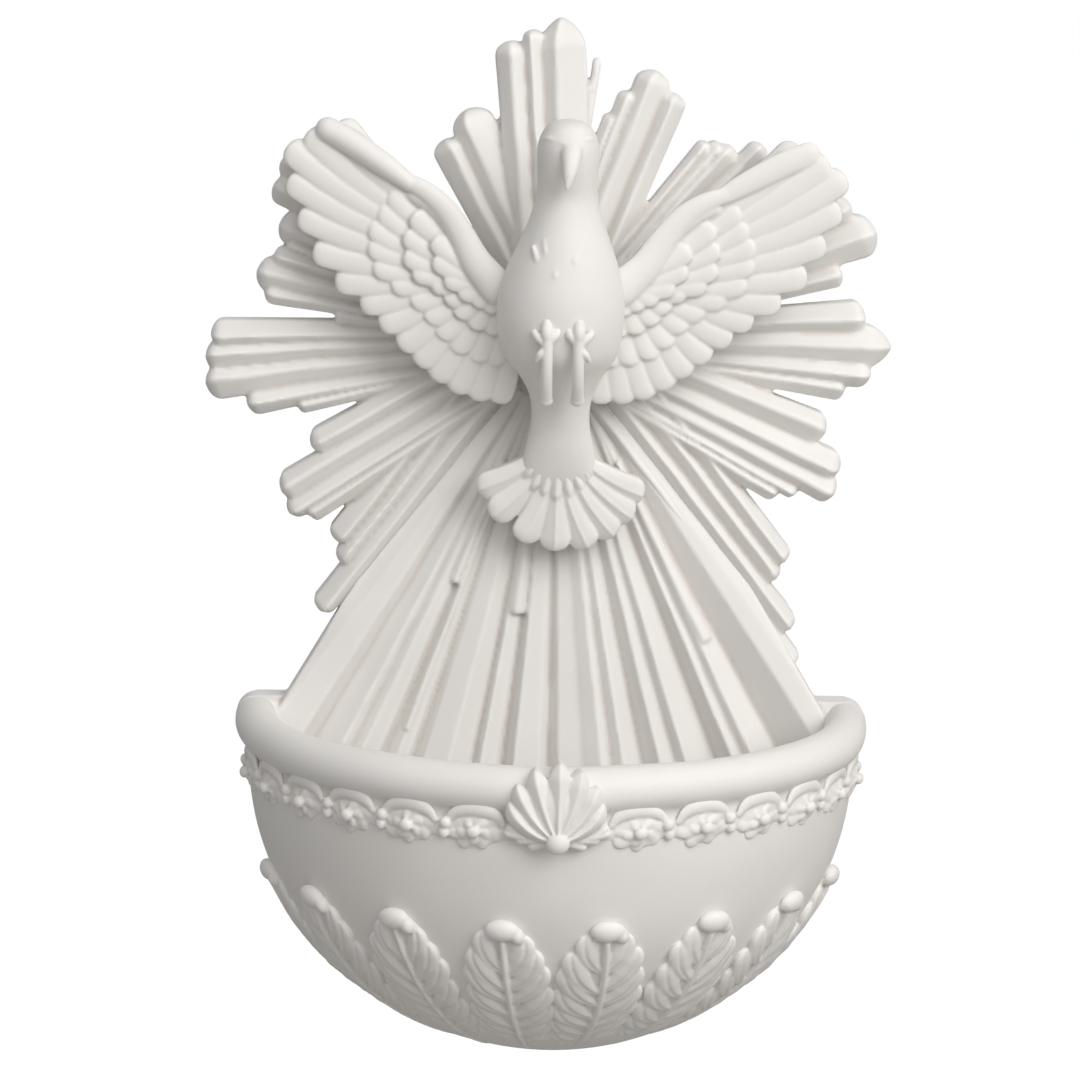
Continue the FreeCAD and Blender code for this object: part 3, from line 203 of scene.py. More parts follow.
def waver(points, amount, wave, seed, waves=12):  # the slow unevenness of a hand-finished mould
    dice = np.random.default_rng(seed)
    total = np.zeros_like(points)
    for _ in range(waves):
        way = dice.normal(size=3)
        way /= np.linalg.norm(way)
        push = dice.normal(size=3)
        push /= np.linalg.norm(push)
        pace = 2 * math.pi / (wave * dice.uniform(0.6, 1.7))
        total += np.sin(points @ way * pace + dice.uniform(0, 6.28))[:, None] * push
    return total * amount / math.sqrt(waves / 2)


def spread(values, ends, count):  # mean of each point's neighbours
    a, b = ends[:, 0], ends[:, 1]
    degree = np.maximum(np.bincount(a, minlength=count) + np.bincount(b, minlength=count), 1)
    return np.stack([(np.bincount(a, weights=values[b, k], minlength=count)
                      + np.bincount(b, weights=values[a, k], minlength=count)) / degree for k in range(3)], axis=1)


# rounds of smoothing that find narrow and broad grooves, and what a millimetre of depth counts in each
grooves = {"fine": 3, "broad": 30, "fineGain": 1.6, "gain": 1.6}


def markHollows(mesh):  # how deep each point lies in a groove, which sets the painted shade and painted highlight of the stone
    count = len(mesh.vertices)
    points = np.empty(count * 3, np.float32)
    mesh.vertices.foreach_get("co", points)
    normals = np.empty(count * 3, np.float32)
    mesh.vertex_normals.foreach_get("vector", normals)
    ends = np.empty(len(mesh.edges) * 2, np.int32)
    mesh.edges.foreach_get("vertices", ends)
    points, normals, ends = points.reshape(-1, 3) / mm, normals.reshape(-1, 3), ends.reshape(-1, 2)
    moved = points.astype(float)
    depth = np.zeros(count)
    for step in range(1, grooves["broad"] + 1):
        moved = 0.5 * moved + 0.5 * spread(moved, ends, count)
        if step == grooves["fine"]:
            depth += grooves["fineGain"] * np.einsum("ij,ij->i", moved - points, normals)
    depth += np.einsum("ij,ij->i", moved - points, normals)
    mark = mesh.attributes.new("hollow", "FLOAT", "POINT")
    mark.data.foreach_set("value", np.clip(depth * grooves["gain"], -1, 1).astype(np.float32))


def clayMesh(name, shells):
    points, faces, start = [], [], 0
    for rings in shells:
        corners, polygons = skin(rings)
        points.append(corners)
        faces += [[start + k for k in polygon] for polygon in polygons]
        start += len(corners)
    mesh = bpy.data.meshes.new(name)
    mesh.from_pydata((np.concatenate(points) * mm).tolist(), [], faces)
    return mesh


def castPiece(name, nodes, shells, voxel, soften, seed, uneven=0.10, wave=14.0, cutter=None):  # sizes in mm
    piece = bpy.data.objects.new(name, clayMesh(name, shells))
    scene.collection.objects.link(piece)
    cast = piece.modifiers.new("cast", "REMESH")
    cast.mode = "VOXEL"
    cast.voxel_size = voxel * mm
    worn = piece.modifiers.new("worn", "SMOOTH")
    worn.factor = 0.5
    worn.iterations = soften
    if cutter is not None:
        bed = piece.modifiers.new("bed", "BOOLEAN")
        bed.operation = "DIFFERENCE"
        bed.object = cutter
        bed.solver = "EXACT"
    graph = bpy.context.evaluated_depsgraph_get()
    done = bpy.data.meshes.new_from_object(piece.evaluated_get(graph))
    piece.modifiers.clear()
    piece.data = done
    done.name = name
    flat = np.empty(len(done.vertices) * 3, np.float32)
    done.vertices.foreach_get("co", flat)
    spots = flat.reshape(-1, 3) / mm
    shift = waver(spots.astype(float), uneven, wave, seed)
    shift *= np.clip((-spots[:, 1:2] - flatBack) / flatBack, 0, 1)
    done.vertices.foreach_set("co", ((spots + shift) * mm).astype(np.float32).ravel())
    done.update()
    done.polygons.foreach_set("use_smooth", np.ones(len(done.polygons), bool))
    markHollows(done)
    done.materials.append(castMarble)
    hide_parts(*nodes)
    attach(piece, "root")
    print(name, len(done.polygons), "faces")


# materials

def newTree(owner):
    owner.use_nodes = True
    owner.node_tree.nodes.clear()
    return owner.node_tree


def addNode(tree, kind, settings=None, links=None):
    node = tree.nodes.new(kind)
    for key, value in (settings or {}).items():
        if isinstance(key, int) or key in node.inputs:
            node.inputs[key].default_value = value
        else:
            setattr(node, key, value)
    for socket, source in (links or {}).items():
        tree.links.new(source, node.inputs[socket])
    return node


def addNoise(tree, where, size, detail, rough=0.5):  # size in millimetres
    return addNode(tree, "ShaderNodeTexNoise", {"Scale": 1 / (size * mm), "Detail": detail, "Roughness": rough},
                   {"Vector": where}).outputs["Fac"]


def addRange(tree, source, ends, results=(0.0, 1.0)):
    settings = {"From Min": ends[0], "From Max": ends[1], "To Min": results[0], "To Max": results[1]}
    return addNode(tree, "ShaderNodeMapRange", settings, {"Value": source}).outputs["Result"]


def addBlend(tree, share, first, second):  # each of the two is a colour code or an earlier node's colour
    pair = {6: first, 7: second}
    codes = {socket: toLinear(tone) for socket, tone in pair.items() if isinstance(tone, str)}
    links = {socket: tone for socket, tone in pair.items() if socket not in codes}
    return addNode(tree, "ShaderNodeMix", {"data_type": "RGBA", **codes}, {0: share, **links}).outputs[2]


# bonded marble: marble flour in resin, poured in a mould and left unpolished, so it is matt, off-white and
# a little warm, with painted shade greying the hollows and a painted highlight paling the edges, and tiny air pits
# the darker tone is painted shade laid into the hollows, the paler one a painted highlight laid on the edges
marble = {"body": "#ebe9e6", "cloud": "#e5e3df", "paintedShade": "#b9b1a7", "bright": "#f2f1ef",
          "cloudSize": 26.0, "grainSize": 0.9, "pitSpacing": 5.0, "pitHalf": 0.17, "pitCore": 0.4,
          "hollows": (0.04, 0.75), "paintedShadeShare": 0.55, "edges": (-0.1, -0.8), "paintedHighlightShare": 0.7,
          "grainShare": 0.35, "relief": 0.35, "reliefDepth": 0.12,
          "patches": (0.3, 0.7), "roughness": (0.57, 0.70), "ior": 1.5,
          "bleed": 0.12, "bleedDepth": 1.5, "bleedTone": (1.0, 0.9, 0.8)}


def makeCastMarble():
    stuff = bpy.data.materials.new("castMarble")
    tree = newTree(stuff)
    where = addNode(tree, "ShaderNodeTexCoord").outputs["Object"]
    cloud = addNoise(tree, where, marble["cloudSize"], 4.0, 0.6)
    tone = addBlend(tree, cloud, marble["body"], marble["cloud"])
    hollow = addNode(tree, "ShaderNodeAttribute", {"attribute_name": "hollow"}).outputs["Fac"]
    # painted shade: the darker tone laid into the grooves that the hollow mark finds
    deep = addRange(tree, hollow, marble["hollows"], (0.0, marble["paintedShadeShare"]))
    # painted highlight: the paler tone laid on the ridges and edges that the hollow mark finds
    high = addRange(tree, hollow, marble["edges"], (0.0, marble["paintedHighlightShare"]))
    tone = addBlend(tree, deep, tone, marble["paintedShade"])
    tone = addBlend(tree, high, tone, marble["bright"])
    pits = addNode(tree, "ShaderNodeTexVoronoi", {"Scale": 1 / (marble["pitSpacing"] * mm), "Randomness": 1.0},
                   {"Vector": where}).outputs["Distance"]
    pitEdge = marble["pitHalf"] / marble["pitSpacing"]
    pit = addRange(tree, pits, (pitEdge * marble["pitCore"], pitEdge))
    grain = addNoise(tree, where, marble["grainSize"], 3.0, 0.65)
    surface = addNode(tree, "ShaderNodeMath", {"operation": "MULTIPLY_ADD", 1: marble["grainShare"]},
                      {0: grain, 2: pit}).outputs[0]
    bump = addNode(tree, "ShaderNodeBump", {"Strength": marble["relief"], "Distance": marble["reliefDepth"] * mm},
                   {"Height": surface}).outputs["Normal"]
    rough = addRange(tree, cloud, marble["patches"], marble["roughness"])
    shader = addNode(tree, "ShaderNodeBsdfPrincipled",
                     {"IOR": marble["ior"], "Subsurface Weight": marble["bleed"],
                      "Subsurface Scale": marble["bleedDepth"] * mm, "Subsurface Radius": marble["bleedTone"]},
                     {"Base Color": tone, "Roughness": rough, "Normal": bump})
    addNode(tree, "ShaderNodeOutputMaterial", links={"Surface": shader.outputs[0]})
    return stuff


# zinc-plated mild steel, pressed and barrel-plated: grey with a soft blotchy spangle
zinc = {"body": "#a9acad", "dull": "#8d9193", "spangle": 3.0, "roughness": (0.32, 0.55)}


def makeZincSteel():
    stuff = bpy.data.materials.new("zincSteel")
    tree = newTree(stuff)
    where = addNode(tree, "ShaderNodeTexCoord").outputs["Object"]
    blotch = addNoise(tree, where, zinc["spangle"], 5.0)
    tone = addBlend(tree, blotch, zinc["body"], zinc["dull"])
    rough = addRange(tree, blotch, (0.0, 1.0), zinc["roughness"])
    shader = addNode(tree, "ShaderNodeBsdfPrincipled", {"Metallic": 1.0}, {"Base Color": tone, "Roughness": rough})
    addNode(tree, "ShaderNodeOutputMaterial", links={"Surface": shader.outputs[0]})
    return stuff


castMarble = makeCastMarble()
zincSteel = makeZincSteel()
print("materials made")


# wall plate. Each bundle, clockwise from the top: direction, width at the hub as a share of that at the tips,
# tiers it stands forward, and its reeds as offset to the left, half width and reach. Webs close the gaps.
rays = {
    "depth": 6.0, "start": 12.0, "overlap": 1.14, "tier": 1.2, "shoulder": 0.4, "hub": 28.0, "hubDrop": 0.4,
    "crown": 2.9, "crownRun": (0.55, 6.0),  # a narrow reed is lower: share at no width, half width that adds 1
    "tipPoint": 1.8, "broad": 4.6, "dart": (1.45, 1.15),  # reeds broader than this end in a point
    "webDrop": 0.8, "webCrown": 0.4,
    "bundles": [
        (93.5, 0.85, 1, ((-3.8, 4.2, 64.4), (2.0, 1.9, 62.2), (6.4, 3.1, 60.2))),
        (69.0, 0.85, 0, ((-4.0, 2.3, 54.6), (1.3, 3.2, 57.4), (4.8, 1.9, 51.6), (6.7, 1.2, 46.0))),
        (48.0, 0.6, 0, ((-4.3, 2.1, 56.8), (0.0, 2.3, 52.4), (2.7, 1.3, 51.2), (4.5, 1.4, 49.6))),
        (21.0, 0.45, 1, ((-7.7, 2.1, 58.8), (-1.9, 4.0, 68.2), (4.6, 2.5, 65.2), (9.2, 2.3, 63.4),
                         (12.7, 2.0, 60.0))),
        (-2.0, 0.38, 0, ((-8.1, 2.0, 59.2), (-4.4, 2.8, 64.4), (1.2, 4.2, 68.3), (7.0, 3.2, 62.6))),
        (-25.0, 0.6, 1, ((-9.6, 1.7, 54.8), (-7.4, 1.6, 58.2), (-4.0, 2.7, 65.2), (0.7, 2.8, 64.0),
                         (6.3, 3.0, 57.9))),
        (-52.0, 1.0, 0, ((9.2, 2.2, 65.4), (5.5, 2.2, 67.3), (1.7, 2.2, 77.4), (-2.0, 2.0, 84.0))),
        (232.5, 1.0, 0, ((-9.8, 2.2, 61.0), (-6.2, 2.0, 64.0), (-3.4, 2.2, 74.6))),
        (213.0, 0.75, 1, ((-7.8, 2.6, 54.3), (-3.2, 2.9, 64.4), (0.9, 2.3, 65.6), (3.9, 1.8, 62.4))),
        (186.5, 0.42, 0, ((-7.7, 2.7, 70.0), (-3.2, 2.8, 71.6), (2.2, 3.2, 72.2), (7.0, 2.5, 64.4),
                          (8.9, 1.4, 54.0))),
        (168.0, 0.45, 1, ((-3.6, 2.0, 59.8), (0.3, 3.1, 62.4), (3.9, 2.0, 60.0), (5.4, 1.3, 45.0))),
        (154.0, 0.45, 0, ((-6.8, 2.3, 66.0), (-1.8, 2.8, 65.2), (4.4, 3.1, 60.7), (7.5, 1.7, 57.6))),
        (116.5, 0.75, 0, ((-3.4, 4.0, 49.4), (3.4, 2.8, 45.9))),
    ],
    "webs": ((-37.8, 2.4, 49.6), (-13.8, 2.4, 45.5), (8.6, 1.8, 43.8), (36.0, 4.0, 50.0), (79.5, 2.6, 41.8),
             (84.3, 1.4, 51.6), (82.7, 0.8, 57.0), (175.6, 1.8, 44.0), (198.8, 2.2, 41.4), (219.2, 1.6, 52.2),
             (230.8, 3.0, 72.0), (-50.8, 3.0, 76.0)),
    "seat": (0.0, 5.0), "seatHalf": 10.5, "seatTop": 10.6,
}


def rayShells():
    shells = [disc((0, 0), rays["hub"], 0.0, rays["depth"] - rays["hubDrop"]),
              disc(rays["seat"], rays["seatHalf"], 0.0, rays["seatTop"])]
    dice = np.random.default_rng(4)
    base, run = rays["crownRun"]
    for direction, waist, tier, reeds in rays["bundles"]:
        level = rays["depth"] + tier * rays["tier"] - rays["shoulder"]
        for across, half, reach in reeds:
            root = turned((rays["start"], across * waist), direction)
            tip = turned((reach, across), direction)
            half *= rays["overlap"]
            crown = rays["crown"] * min(1.0, base + half / run)
            lean, blunt = dice.uniform(-0.35, 0.35), dice.uniform(0.6, 0.9)
            point, roundness = rays["dart"] if half > rays["broad"] else (rays["tipPoint"], blunt)
            shells.append(pad(root, tip, (half * waist, half), 0.0, (level, level), (crown * waist, crown),
                              sharp=1.05, peak=lean, lip=0.2, tipFall=1.4, point=point, roundness=roundness))
    level = rays["depth"] - rays["webDrop"]
    for direction, half, reach in rays["webs"]:
        shells.append(pad(turned((rays["start"], 0.0), direction), turned((reach, 0.0), direction),
                          (half / 2, half), 0.0, (level, level), rays["webCrown"], lip=0.4, tipFall=0.8))
    return shells


# the keyhole hanger's bed, cut in the back: half width, low, high, depth; then room for the wall screw's head.
# The cutters start behind the wall, each at a depth of its own, so that no two faces coincide.
hanger = {"bed": (7.7, -15.2, 25.2, 1.5), "room": (5.3, 0.0, 9.0, 5.1), "pilot": (1.3, 4.0),
          "screws": (-10.5, 20.5), "behind": (-2.0, -1.9, -1.8), "voxel": 0.25}


def hangerCutter():
    half, low, high, depth = hanger["bed"]
    roomHalf, roomLow, roomHigh, roomDepth = hanger["room"]
    bedStart, roomStart, pilotStart = hanger["behind"]
    shells = [slab([(-half, low), (half, low), (half, high), (-half, high)], bedStart, depth)]
    angle = np.linspace(0, math.pi, 24)
    upper = np.column_stack([roomHalf * np.cos(angle), roomHigh + roomHalf * np.sin(angle)])
    lower = np.column_stack([-roomHalf * np.cos(angle), roomLow - roomHalf * np.sin(angle)])
    shells.append(slab(np.concatenate([upper, lower]), roomStart, roomDepth))
    pilotHalf, pilotDepth = hanger["pilot"]
    for height in hanger["screws"]:
        shells.append(disc((0, height), pilotHalf, pilotStart, pilotDepth, count=24))
    bed = bpy.data.objects.new("hangerBed", clayMesh("hangerBed", [upright(s) for s in shells]))
    scene.collection.objects.link(bed)
    joinUp = bed.modifiers.new("joinUp", "REMESH")
    joinUp.mode = "VOXEL"
    joinUp.voxel_size = hanger["voxel"] * mm
    return bed


hangerBed = hangerCutter()
castPiece("sunburstRays", ["sunburst_plate"], [upright(s) for s in rayShells()], voxel=0.43, soften=2,
          seed=2, cutter=hangerBed)
bpy.data.objects.remove(hangerBed)

# lower fan and the bowl's back. Pleats go left to right: degrees from straight down, and rise over the plate
# at the depth of the bowl's centre. Short reeds lie on them: degrees, half width and reach.
fan = {
    "pleats": (
        (-38.6, 0.6), (-35.6, 2.3), (-32.0, 2.6), (-30.2, 0.2), (-28.6, 1.4), (-27.0, 2.7), (-25.8, 1.7),
        (-24.6, 2.9), (-22.4, 2.3), (-21.6, 0.5), (-20.2, 2.0), (-18.8, 1.9), (-18.0, 0.2), (-16.8, 1.9),
        (-13.5, 3.0), (-10.1, 0.5), (-9.4, 2.5), (-7.4, 1.7), (-6.2, 0.1), (-5.0, 3.0), (-1.6, 2.3),
        (-0.3, 0.3), (1.0, 2.3), (4.4, 2.1), (6.9, 3.2), (8.1, 1.9), (9.7, 3.1), (12.2, 0.4), (14.4, 3.0),
        (16.4, 1.7), (17.7, 3.0), (21.4, 0.2), (23.5, 3.0), (24.7, 1.9), (25.8, 2.8), (28.9, 0.1),
        (31.0, 1.6), (33.6, 3.1), (36.4, 2.4), (38.6, 1.0),
    ),
    "short": ((-22.0, 1.4, 54.5), (-7.7, 2.0, 57.5), (26.6, 1.8, 70.0), (-20.2, 1.1, 87.0)),
    "shortLift": 1.9, "shortFall": (1.3, 0.3), "shortCrown": 1.3,
    "start": 13.0, "base": 6.0, "floor": 96.0, "side": 57.0, "stretch": 1.3, "columns": 640, "rows": 24,
    "edge": (10.3, 0.595),  # the outer edge leans in: its distance from the hub, and its slope
    "back": 0.3,  # stands off the wall, clear of the rays' backs
    "corner": [(60.6, -79.6, 5.0), (57.0, -79.4, 5.4), (51.5, -81.0, 4.6)],  # the rim turns in along the wall
    "cornerHalf": [4.2, 4.0, 2.6],
}
# the half-round bowl. Its roll is a round bead on the rim, drawn over an arc in degrees.
bowl = {"radius": 62.5, "wall": 5.5, "drop": 85.0, "front": 6.0, "rim": 5.6, "roll": 4.4, "rollIn": 1.7,
        "rollArc": (-66, 220), "axisGap": 0.02}


def fanShells():
    bearings, rises = np.array(fan["pleats"]).T
    fine = np.linspace(bearings[0], bearings[-1], fan["columns"])
    slope = np.interp(fine, bearings, rises) * fan["stretch"] / bowl["drop"]
    angle = np.radians(fine)
    across, down = np.maximum(np.abs(np.sin(angle)), 1e-3), np.cos(angle)
    reach = np.minimum(fan["floor"] / down, fan["side"] / across)
    distance, inward = fan["edge"]
    reach = np.minimum(reach, distance / np.maximum(across - inward * down, 1e-3))
    rings = []
    for turn, rise, end in zip(angle, slope, reach):
        r = np.linspace(fan["start"], end, fan["rows"])
        x, y = r * math.sin(turn), -r * math.cos(turn)
        upper = np.column_stack([x, y, fan["base"] + rise * r])
        lower = np.column_stack([x, y, np.full(len(x), fan["back"])])[::-1]
        rings.append(np.concatenate([upper, lower]))
    shells = [np.array(rings)]
    for side in (-1, 1):
        shells.append(limb([(side * x, y, z) for x, y, z in fan["corner"]], fan["cornerHalf"]))
    top = fan["base"] + fan["shortLift"]
    tops = [top - fall for fall in fan["shortFall"]]
    for bearing, half, length in fan["short"]:
        shells.append(pad(turned((0, -rays["hub"]), bearing), turned((0, -length), bearing), (half / 2, half),
                          fan["back"], tops, fan["shortCrown"], sharp=1.5, lip=0.5, tipFall=0.8, point=3.2,
                          roundness=0.8))
    return shells


def apronOutline():
    angle = np.linspace(math.pi, 2 * math.pi, 120)
    low = np.column_stack([bowl["radius"] * np.cos(angle), -bowl["drop"] + bowl["radius"] * np.sin(angle)])
    across, height = bowl["radius"] - bowl["rollIn"], bowl["rim"] - bowl["drop"]
    turns = np.linspace(-1.1, math.pi / 2, 16)  # from where the roll leaves the wall of the bowl to its top
    right = np.column_stack([across + bowl["roll"] * np.cos(turns), height + bowl["roll"] * np.sin(turns)])
    return np.concatenate([low, right, right[::-1] * (-1, 1)])


castPiece("sunburstFan", ["sunburst_plate"],
          [upright(s) for s in fanShells() + [slab(apronOutline(), 0.0, fan["base"])]], voxel=0.41, soften=1,
          seed=3)


def bowlShell():
    outer, inner = bowl["radius"], bowl["radius"] - bowl["wall"]
    across, rim, roll = outer - bowl["rollIn"], bowl["rim"], bowl["roll"]
    outside = np.linspace(-math.pi / 2, 0, 70)
    over = np.radians(np.linspace(*bowl["rollArc"], 60))
    ring = np.concatenate([
        np.column_stack([outer * np.cos(outside), outer * np.sin(outside)]),
        np.column_stack([across + roll * np.cos(over), rim + roll * np.sin(over)]),
        np.column_stack([inner * np.cos(outside), inner * np.sin(outside)])[::-1]])
    ring[:, 0] = np.maximum(ring[:, 0], bowl["axisGap"])
    return np.array([np.column_stack([ring[:, 0] * math.sin(turn), -bowl["front"] - ring[:, 0] * math.cos(turn),
                                      ring[:, 1] - bowl["drop"]])
                     for turn in np.linspace(-math.pi / 2, math.pi / 2, 181)])


castPiece("bowlShell", ["bowl"], [bowlShell()], voxel=0.55, soften=14, uneven=0.18, wave=24.0, seed=5)

# dove. Sections of the body from tail root to crown: height, shift, depth, half width, half depth. A tuft of
# down has a place and a lean; its run lists the share of the lean, up and out.
dove = {
    "sections": [(-30.2, 0.6, 14.6, 2.0, 0.6), (-29.4, 0.6, 14.9, 6.2, 1.8), (-27, 0.6, 15.4, 7.8, 2.8),
                 (-22, 0.5, 16.4, 7.1, 3.8), (-16, 0.6, 17.6, 6.0, 4.6),
                 (-10.5, 0.6, 19.0, 6.2, 5.7), (-6, 0.5, 20.4, 8.2, 8.2), (-1.5, 0.3, 22.0, 11.2, 11.0),
                 (4, 0.1, 22.9, 12.5, 12.3), (10, 0.2, 23.3, 12.6, 12.7), (16, 0.4, 23.9, 11.2, 11.6),
                 (21, 0.7, 24.6, 9.2, 9.9), (26, 0.9, 25.4, 7.3, 8.0), (30.5, 1.0, 26.3, 6.1, 6.7),
                 (35, 1.0, 27.5, 6.0, 6.8), (38, 1.0, 28.1, 6.15, 7.0), (41, 1.0, 28.4, 6.0, 6.9),
                 (43.6, 1.0, 28.5, 4.9, 5.8), (45.2, 1.0, 28.5, 3.2, 4.0), (45.9, 1.0, 28.5, 0.8, 1.0)],
    "beak": ([(1.5, 41.0, 33.4), (1.4, 38.6, 35.9), (1.1, 35.8, 37.2), (0.7, 33.0, 37.6)], [2.2, 1.9, 1.35, 0.5]),
    "brow": [(0.5, 41.2, 34.8), (3.6, 42.2, 33.0), (4.9, 42.0, 31.2)], "browHalf": [0.85, 0.65, 0.4],
    "headShift": 1.0, "beakFlat": 0.9,
    "tufts": ((-4.8, 18.6, 32.9, -0.9), (-1.3, 15.8, 34.9, 0.3), (-3.1, 20.0, 33.3, -0.4), (2.4, 18.4, 34.4, 0.8)),
    "tuftRun": ((1.0, 2.4, -0.6), (0.0, 0.0, 0.0), (-0.3, -2.0, -0.1)), "tuftHalf": [0.4, 0.72, 0.3],
    "blockHalf": 9.7, "blockTop": 24.0, "stations": 240, "around": 72,
}


def doveShells():
    table = np.array(dove["sections"], float)
    spots = np.linspace(0, len(table) - 1, dove["stations"])
    run = np.stack([smoothRun(np.arange(len(table)), table[:, k], spots) for k in range(5)], axis=1)
    angle = np.linspace(0, 2 * math.pi, dove["around"], endpoint=False)
    rings = np.stack([run[:, 1:2] + run[:, 3:4] * np.cos(angle)[None, :], run[:, 0:1] + 0 * angle[None, :],
                      run[:, 2:3] + run[:, 4:5] * np.sin(angle)[None, :]], axis=2)
    shells = [rings, limb(*dove["beak"], flat=dove["beakFlat"])]
    for side in (-1, 1):
        brow = [(dove["headShift"] + side * out, y, z) for out, y, z in dove["brow"]]
        shells.append(limb(brow, dove["browHalf"]))
    shells.append(disc(rays["seat"], dove["blockHalf"], rays["seatTop"], dove["blockTop"]))
    for x, y, z, lean in dove["tufts"]:
        tuft = [(x + share * lean, y + up, z + out) for share, up, out in dove["tuftRun"]]
        shells.append(limb(tuft, dove["tuftHalf"]))
    return shells


castPiece("doveBody", ["dove_body"], [upright(s) for s in doveShells()], voxel=0.28, soften=5, uneven=0.06,
          wave=9.0, seed=6)

# wings. The left one is drawn; the right one is its mirror, turned down a little at the shoulder. Covert rows
# run from the outer one in: tips from wrist to body, length, half width and height over the flight feathers.
wing = {
    "tips": ((-44.4, 43.8), (-50.2, 42.0), (-54.4, 39.0), (-54.2, 32.6), (-52.1, 25.6), (-49.3, 18.6),
             (-44.9, 12.7), (-39.9, 8.2), (-36.1, 3.9), (-32.2, -0.6), (-28.6, -4.2), (-25.0, -7.4),
             (-21.0, -9.9), (-16.8, -11.4), (-12.4, -12.0)),
    "roots": ((-30.0, 29.0), (-33.0, 8.0), (-10.0, -1.0)), "half": 3.1, "narrowing": 0.08, "depth": 3.2,
    "flightTops": (0.5, -0.3), "bend": (0.9, 0.5),
    "lead": [(-46.4, 42.4), (-41.2, 39.6), (-35.0, 35.6), (-30.2, 32.2)], "leadHalf": [2.5, 2.5, 2.3, 1.7],
    "leadRise": (-0.2, 0.5, 1.1, 1.5),
    "arm": [(-30.6, 32.6), (-26.6, 30.4), (-22.6, 26.8), (-19.4, 21.8), (-16.6, 16.6), (-12.6, 12.0)],
    "armHalf": [1.6, 2.0, 2.3, 2.6, 3.1, 3.6], "armRise": (1.6, 0.35),
    "flat": {1: (0.65, 0.9), -1: (0.5, 0.42)},  # of the arm and the leading feather: rolls on the left
    "armpit": (-14.0, 4.0), "underShare": 0.10, "underHalf": [1.7, 2.0, 2.3, 2.6, 3.0, 3.4],
    "underRise": (0.8, 0.3), "underFlat": 0.8,
    "coverts": (
        (((-33.6, 30.4), (-35.6, 27.3), (-37.6, 23.9), (-38.0, 20.0), (-37.1, 15.8), (-33.6, 12.2), (-29.8, 8.8),
          (-26.9, 5.2), (-24.2, 1.5), (-21.0, -1.6), (-17.0, -3.4), (-13.4, -4.2)), 9.5, 2.7, 0.9),
        (((-29.2, 26.2), (-30.7, 22.4), (-30.8, 18.4), (-29.3, 14.8), (-25.8, 12.4), (-23.0, 8.9), (-20.6, 5.6),
          (-17.4, 3.2), (-14.0, 2.2)), 9.0, 2.5, 1.9),
        (((-25.0, 21.4), (-24.9, 17.6), (-23.0, 13.6), (-20.3, 10.4), (-17.2, 8.0), (-14.4, 6.6)), 8.0, 2.3, 2.9),
    ),
    "covertTops": (-0.2, 0.1), "covertRun": (0.6, 0.4, 1.2),  # the run says which flight feather one lies along
    "shoulder": (-12.5, 15.0), "droop": 6.0,
}


def wingShells(node, mirror, droop):
    def placed(point):
        x, y = turned(point, droop, wing["shoulder"])
        return (mirror * x, y)

    def risen(points, start, step):
        return [(*placed(p), floor + depth + start + step * k) for k, p in enumerate(points)]

    floor, depth, last = backOf(node), wing["depth"], len(wing["tips"]) - 1
    dice = np.random.default_rng(11 if mirror > 0 else 12)
    shells, roots = [], []
    tops = [depth + rise for rise in wing["flightTops"]]
    for index, tip in enumerate(wing["tips"]):
        share = index / last
        root = curvePoint(wing["roots"], share)
        roots.append(root)
        half = wing["half"] * (1 - wing["narrowing"] * share)
        bend = mirror * (wing["bend"][0] - wing["bend"][1] * share)
        shells.append(pad(placed(root), placed(tip), (half * 0.8, half, half), floor, tops, 0.75, sharp=1.7,
                          peak=-0.2 * mirror, tilt=0.15 * mirror, lip=0.4, tipFall=0.5, bend=bend, point=2.4))
    early, late, inward = wing["covertRun"]
    for tips, length, half, lift in wing["coverts"]:
        tops = [depth + lift + rise for rise in wing["covertTops"]]
        for index, tip in enumerate(tips):
            near = (early + late * index / len(tips)) * index / (len(tips) - 1) * last + inward
            low = min(int(near), last - 1)
            way = between(roots[low], roots[low + 1], min(near - low, 1.0))
            out = between(wing["tips"][low], wing["tips"][low + 1], min(near - low, 1.0))
            bearing = math.degrees(math.atan2(out[1] - way[1], out[0] - way[0])) + dice.uniform(-3, 3)
            root = ahead(tip, bearing + 180, length * dice.uniform(0.95, 1.0))
            wide = half * dice.uniform(0.96, 1.04)
            shells.append(pad(placed(root), placed(tip), (wide * 0.9, wide, wide), floor, tops, 0.6, sharp=1.9,
                              tilt=0.18 * mirror, lip=0.3, tipFall=0.2, bend=mirror * 0.4, point=2.3))
    armFlat, leadFlat = wing["flat"][mirror]
    shells.append(limb(risen(wing["arm"], *wing["armRise"]), wing["armHalf"], flat=armFlat))
    under = [between(p, wing["armpit"], wing["underShare"]) for p in wing["arm"]]
    shells.append(limb(risen(under, *wing["underRise"]), wing["underHalf"], flat=wing["underFlat"]))
    lead = [(*placed(p), floor + depth + rise) for p, rise in zip(wing["lead"], wing["leadRise"])]
    shells.append(limb(lead, wing["leadHalf"], flat=leadFlat))
    return shells


for name, node, mirror, droop, seed in (("leftWing", "left_wing", 1, 0.0, 8),
                                        ("rightWing", "right_wing", -1, wing["droop"], 9)):
    castPiece(name, [node], [upright(s) for s in wingShells(node, mirror, droop)], voxel=0.28, soften=2,
              uneven=0.05, seed=seed)

# tail. Each feather: bearing from the root of the fan, and reach. All but the middle one curve outward.
tail = {"root": (0.3, -19.0), "depth": 3.2, "half": (1.0, 2.3, 3.3), "tops": (0.8, -0.6), "middle": 3, "bend": 1.4,
        "covertHalf": (1.6, 1.0), "covertTops": (2.2, 0.7),
        "feathers": ((-146, 19.5), (-129, 21.2), (-109, 22.6), (-91, 23.4), (-74, 23.6), (-60, 23.2), (-47, 22.4),
                     (-34, 21.0)),
        "coverts": ((-130, 11.0), (-117, 12.2), (-104, 12.8), (-91, 13.4), (-78, 12.9), (-65, 12.2), (-52, 11.0))}


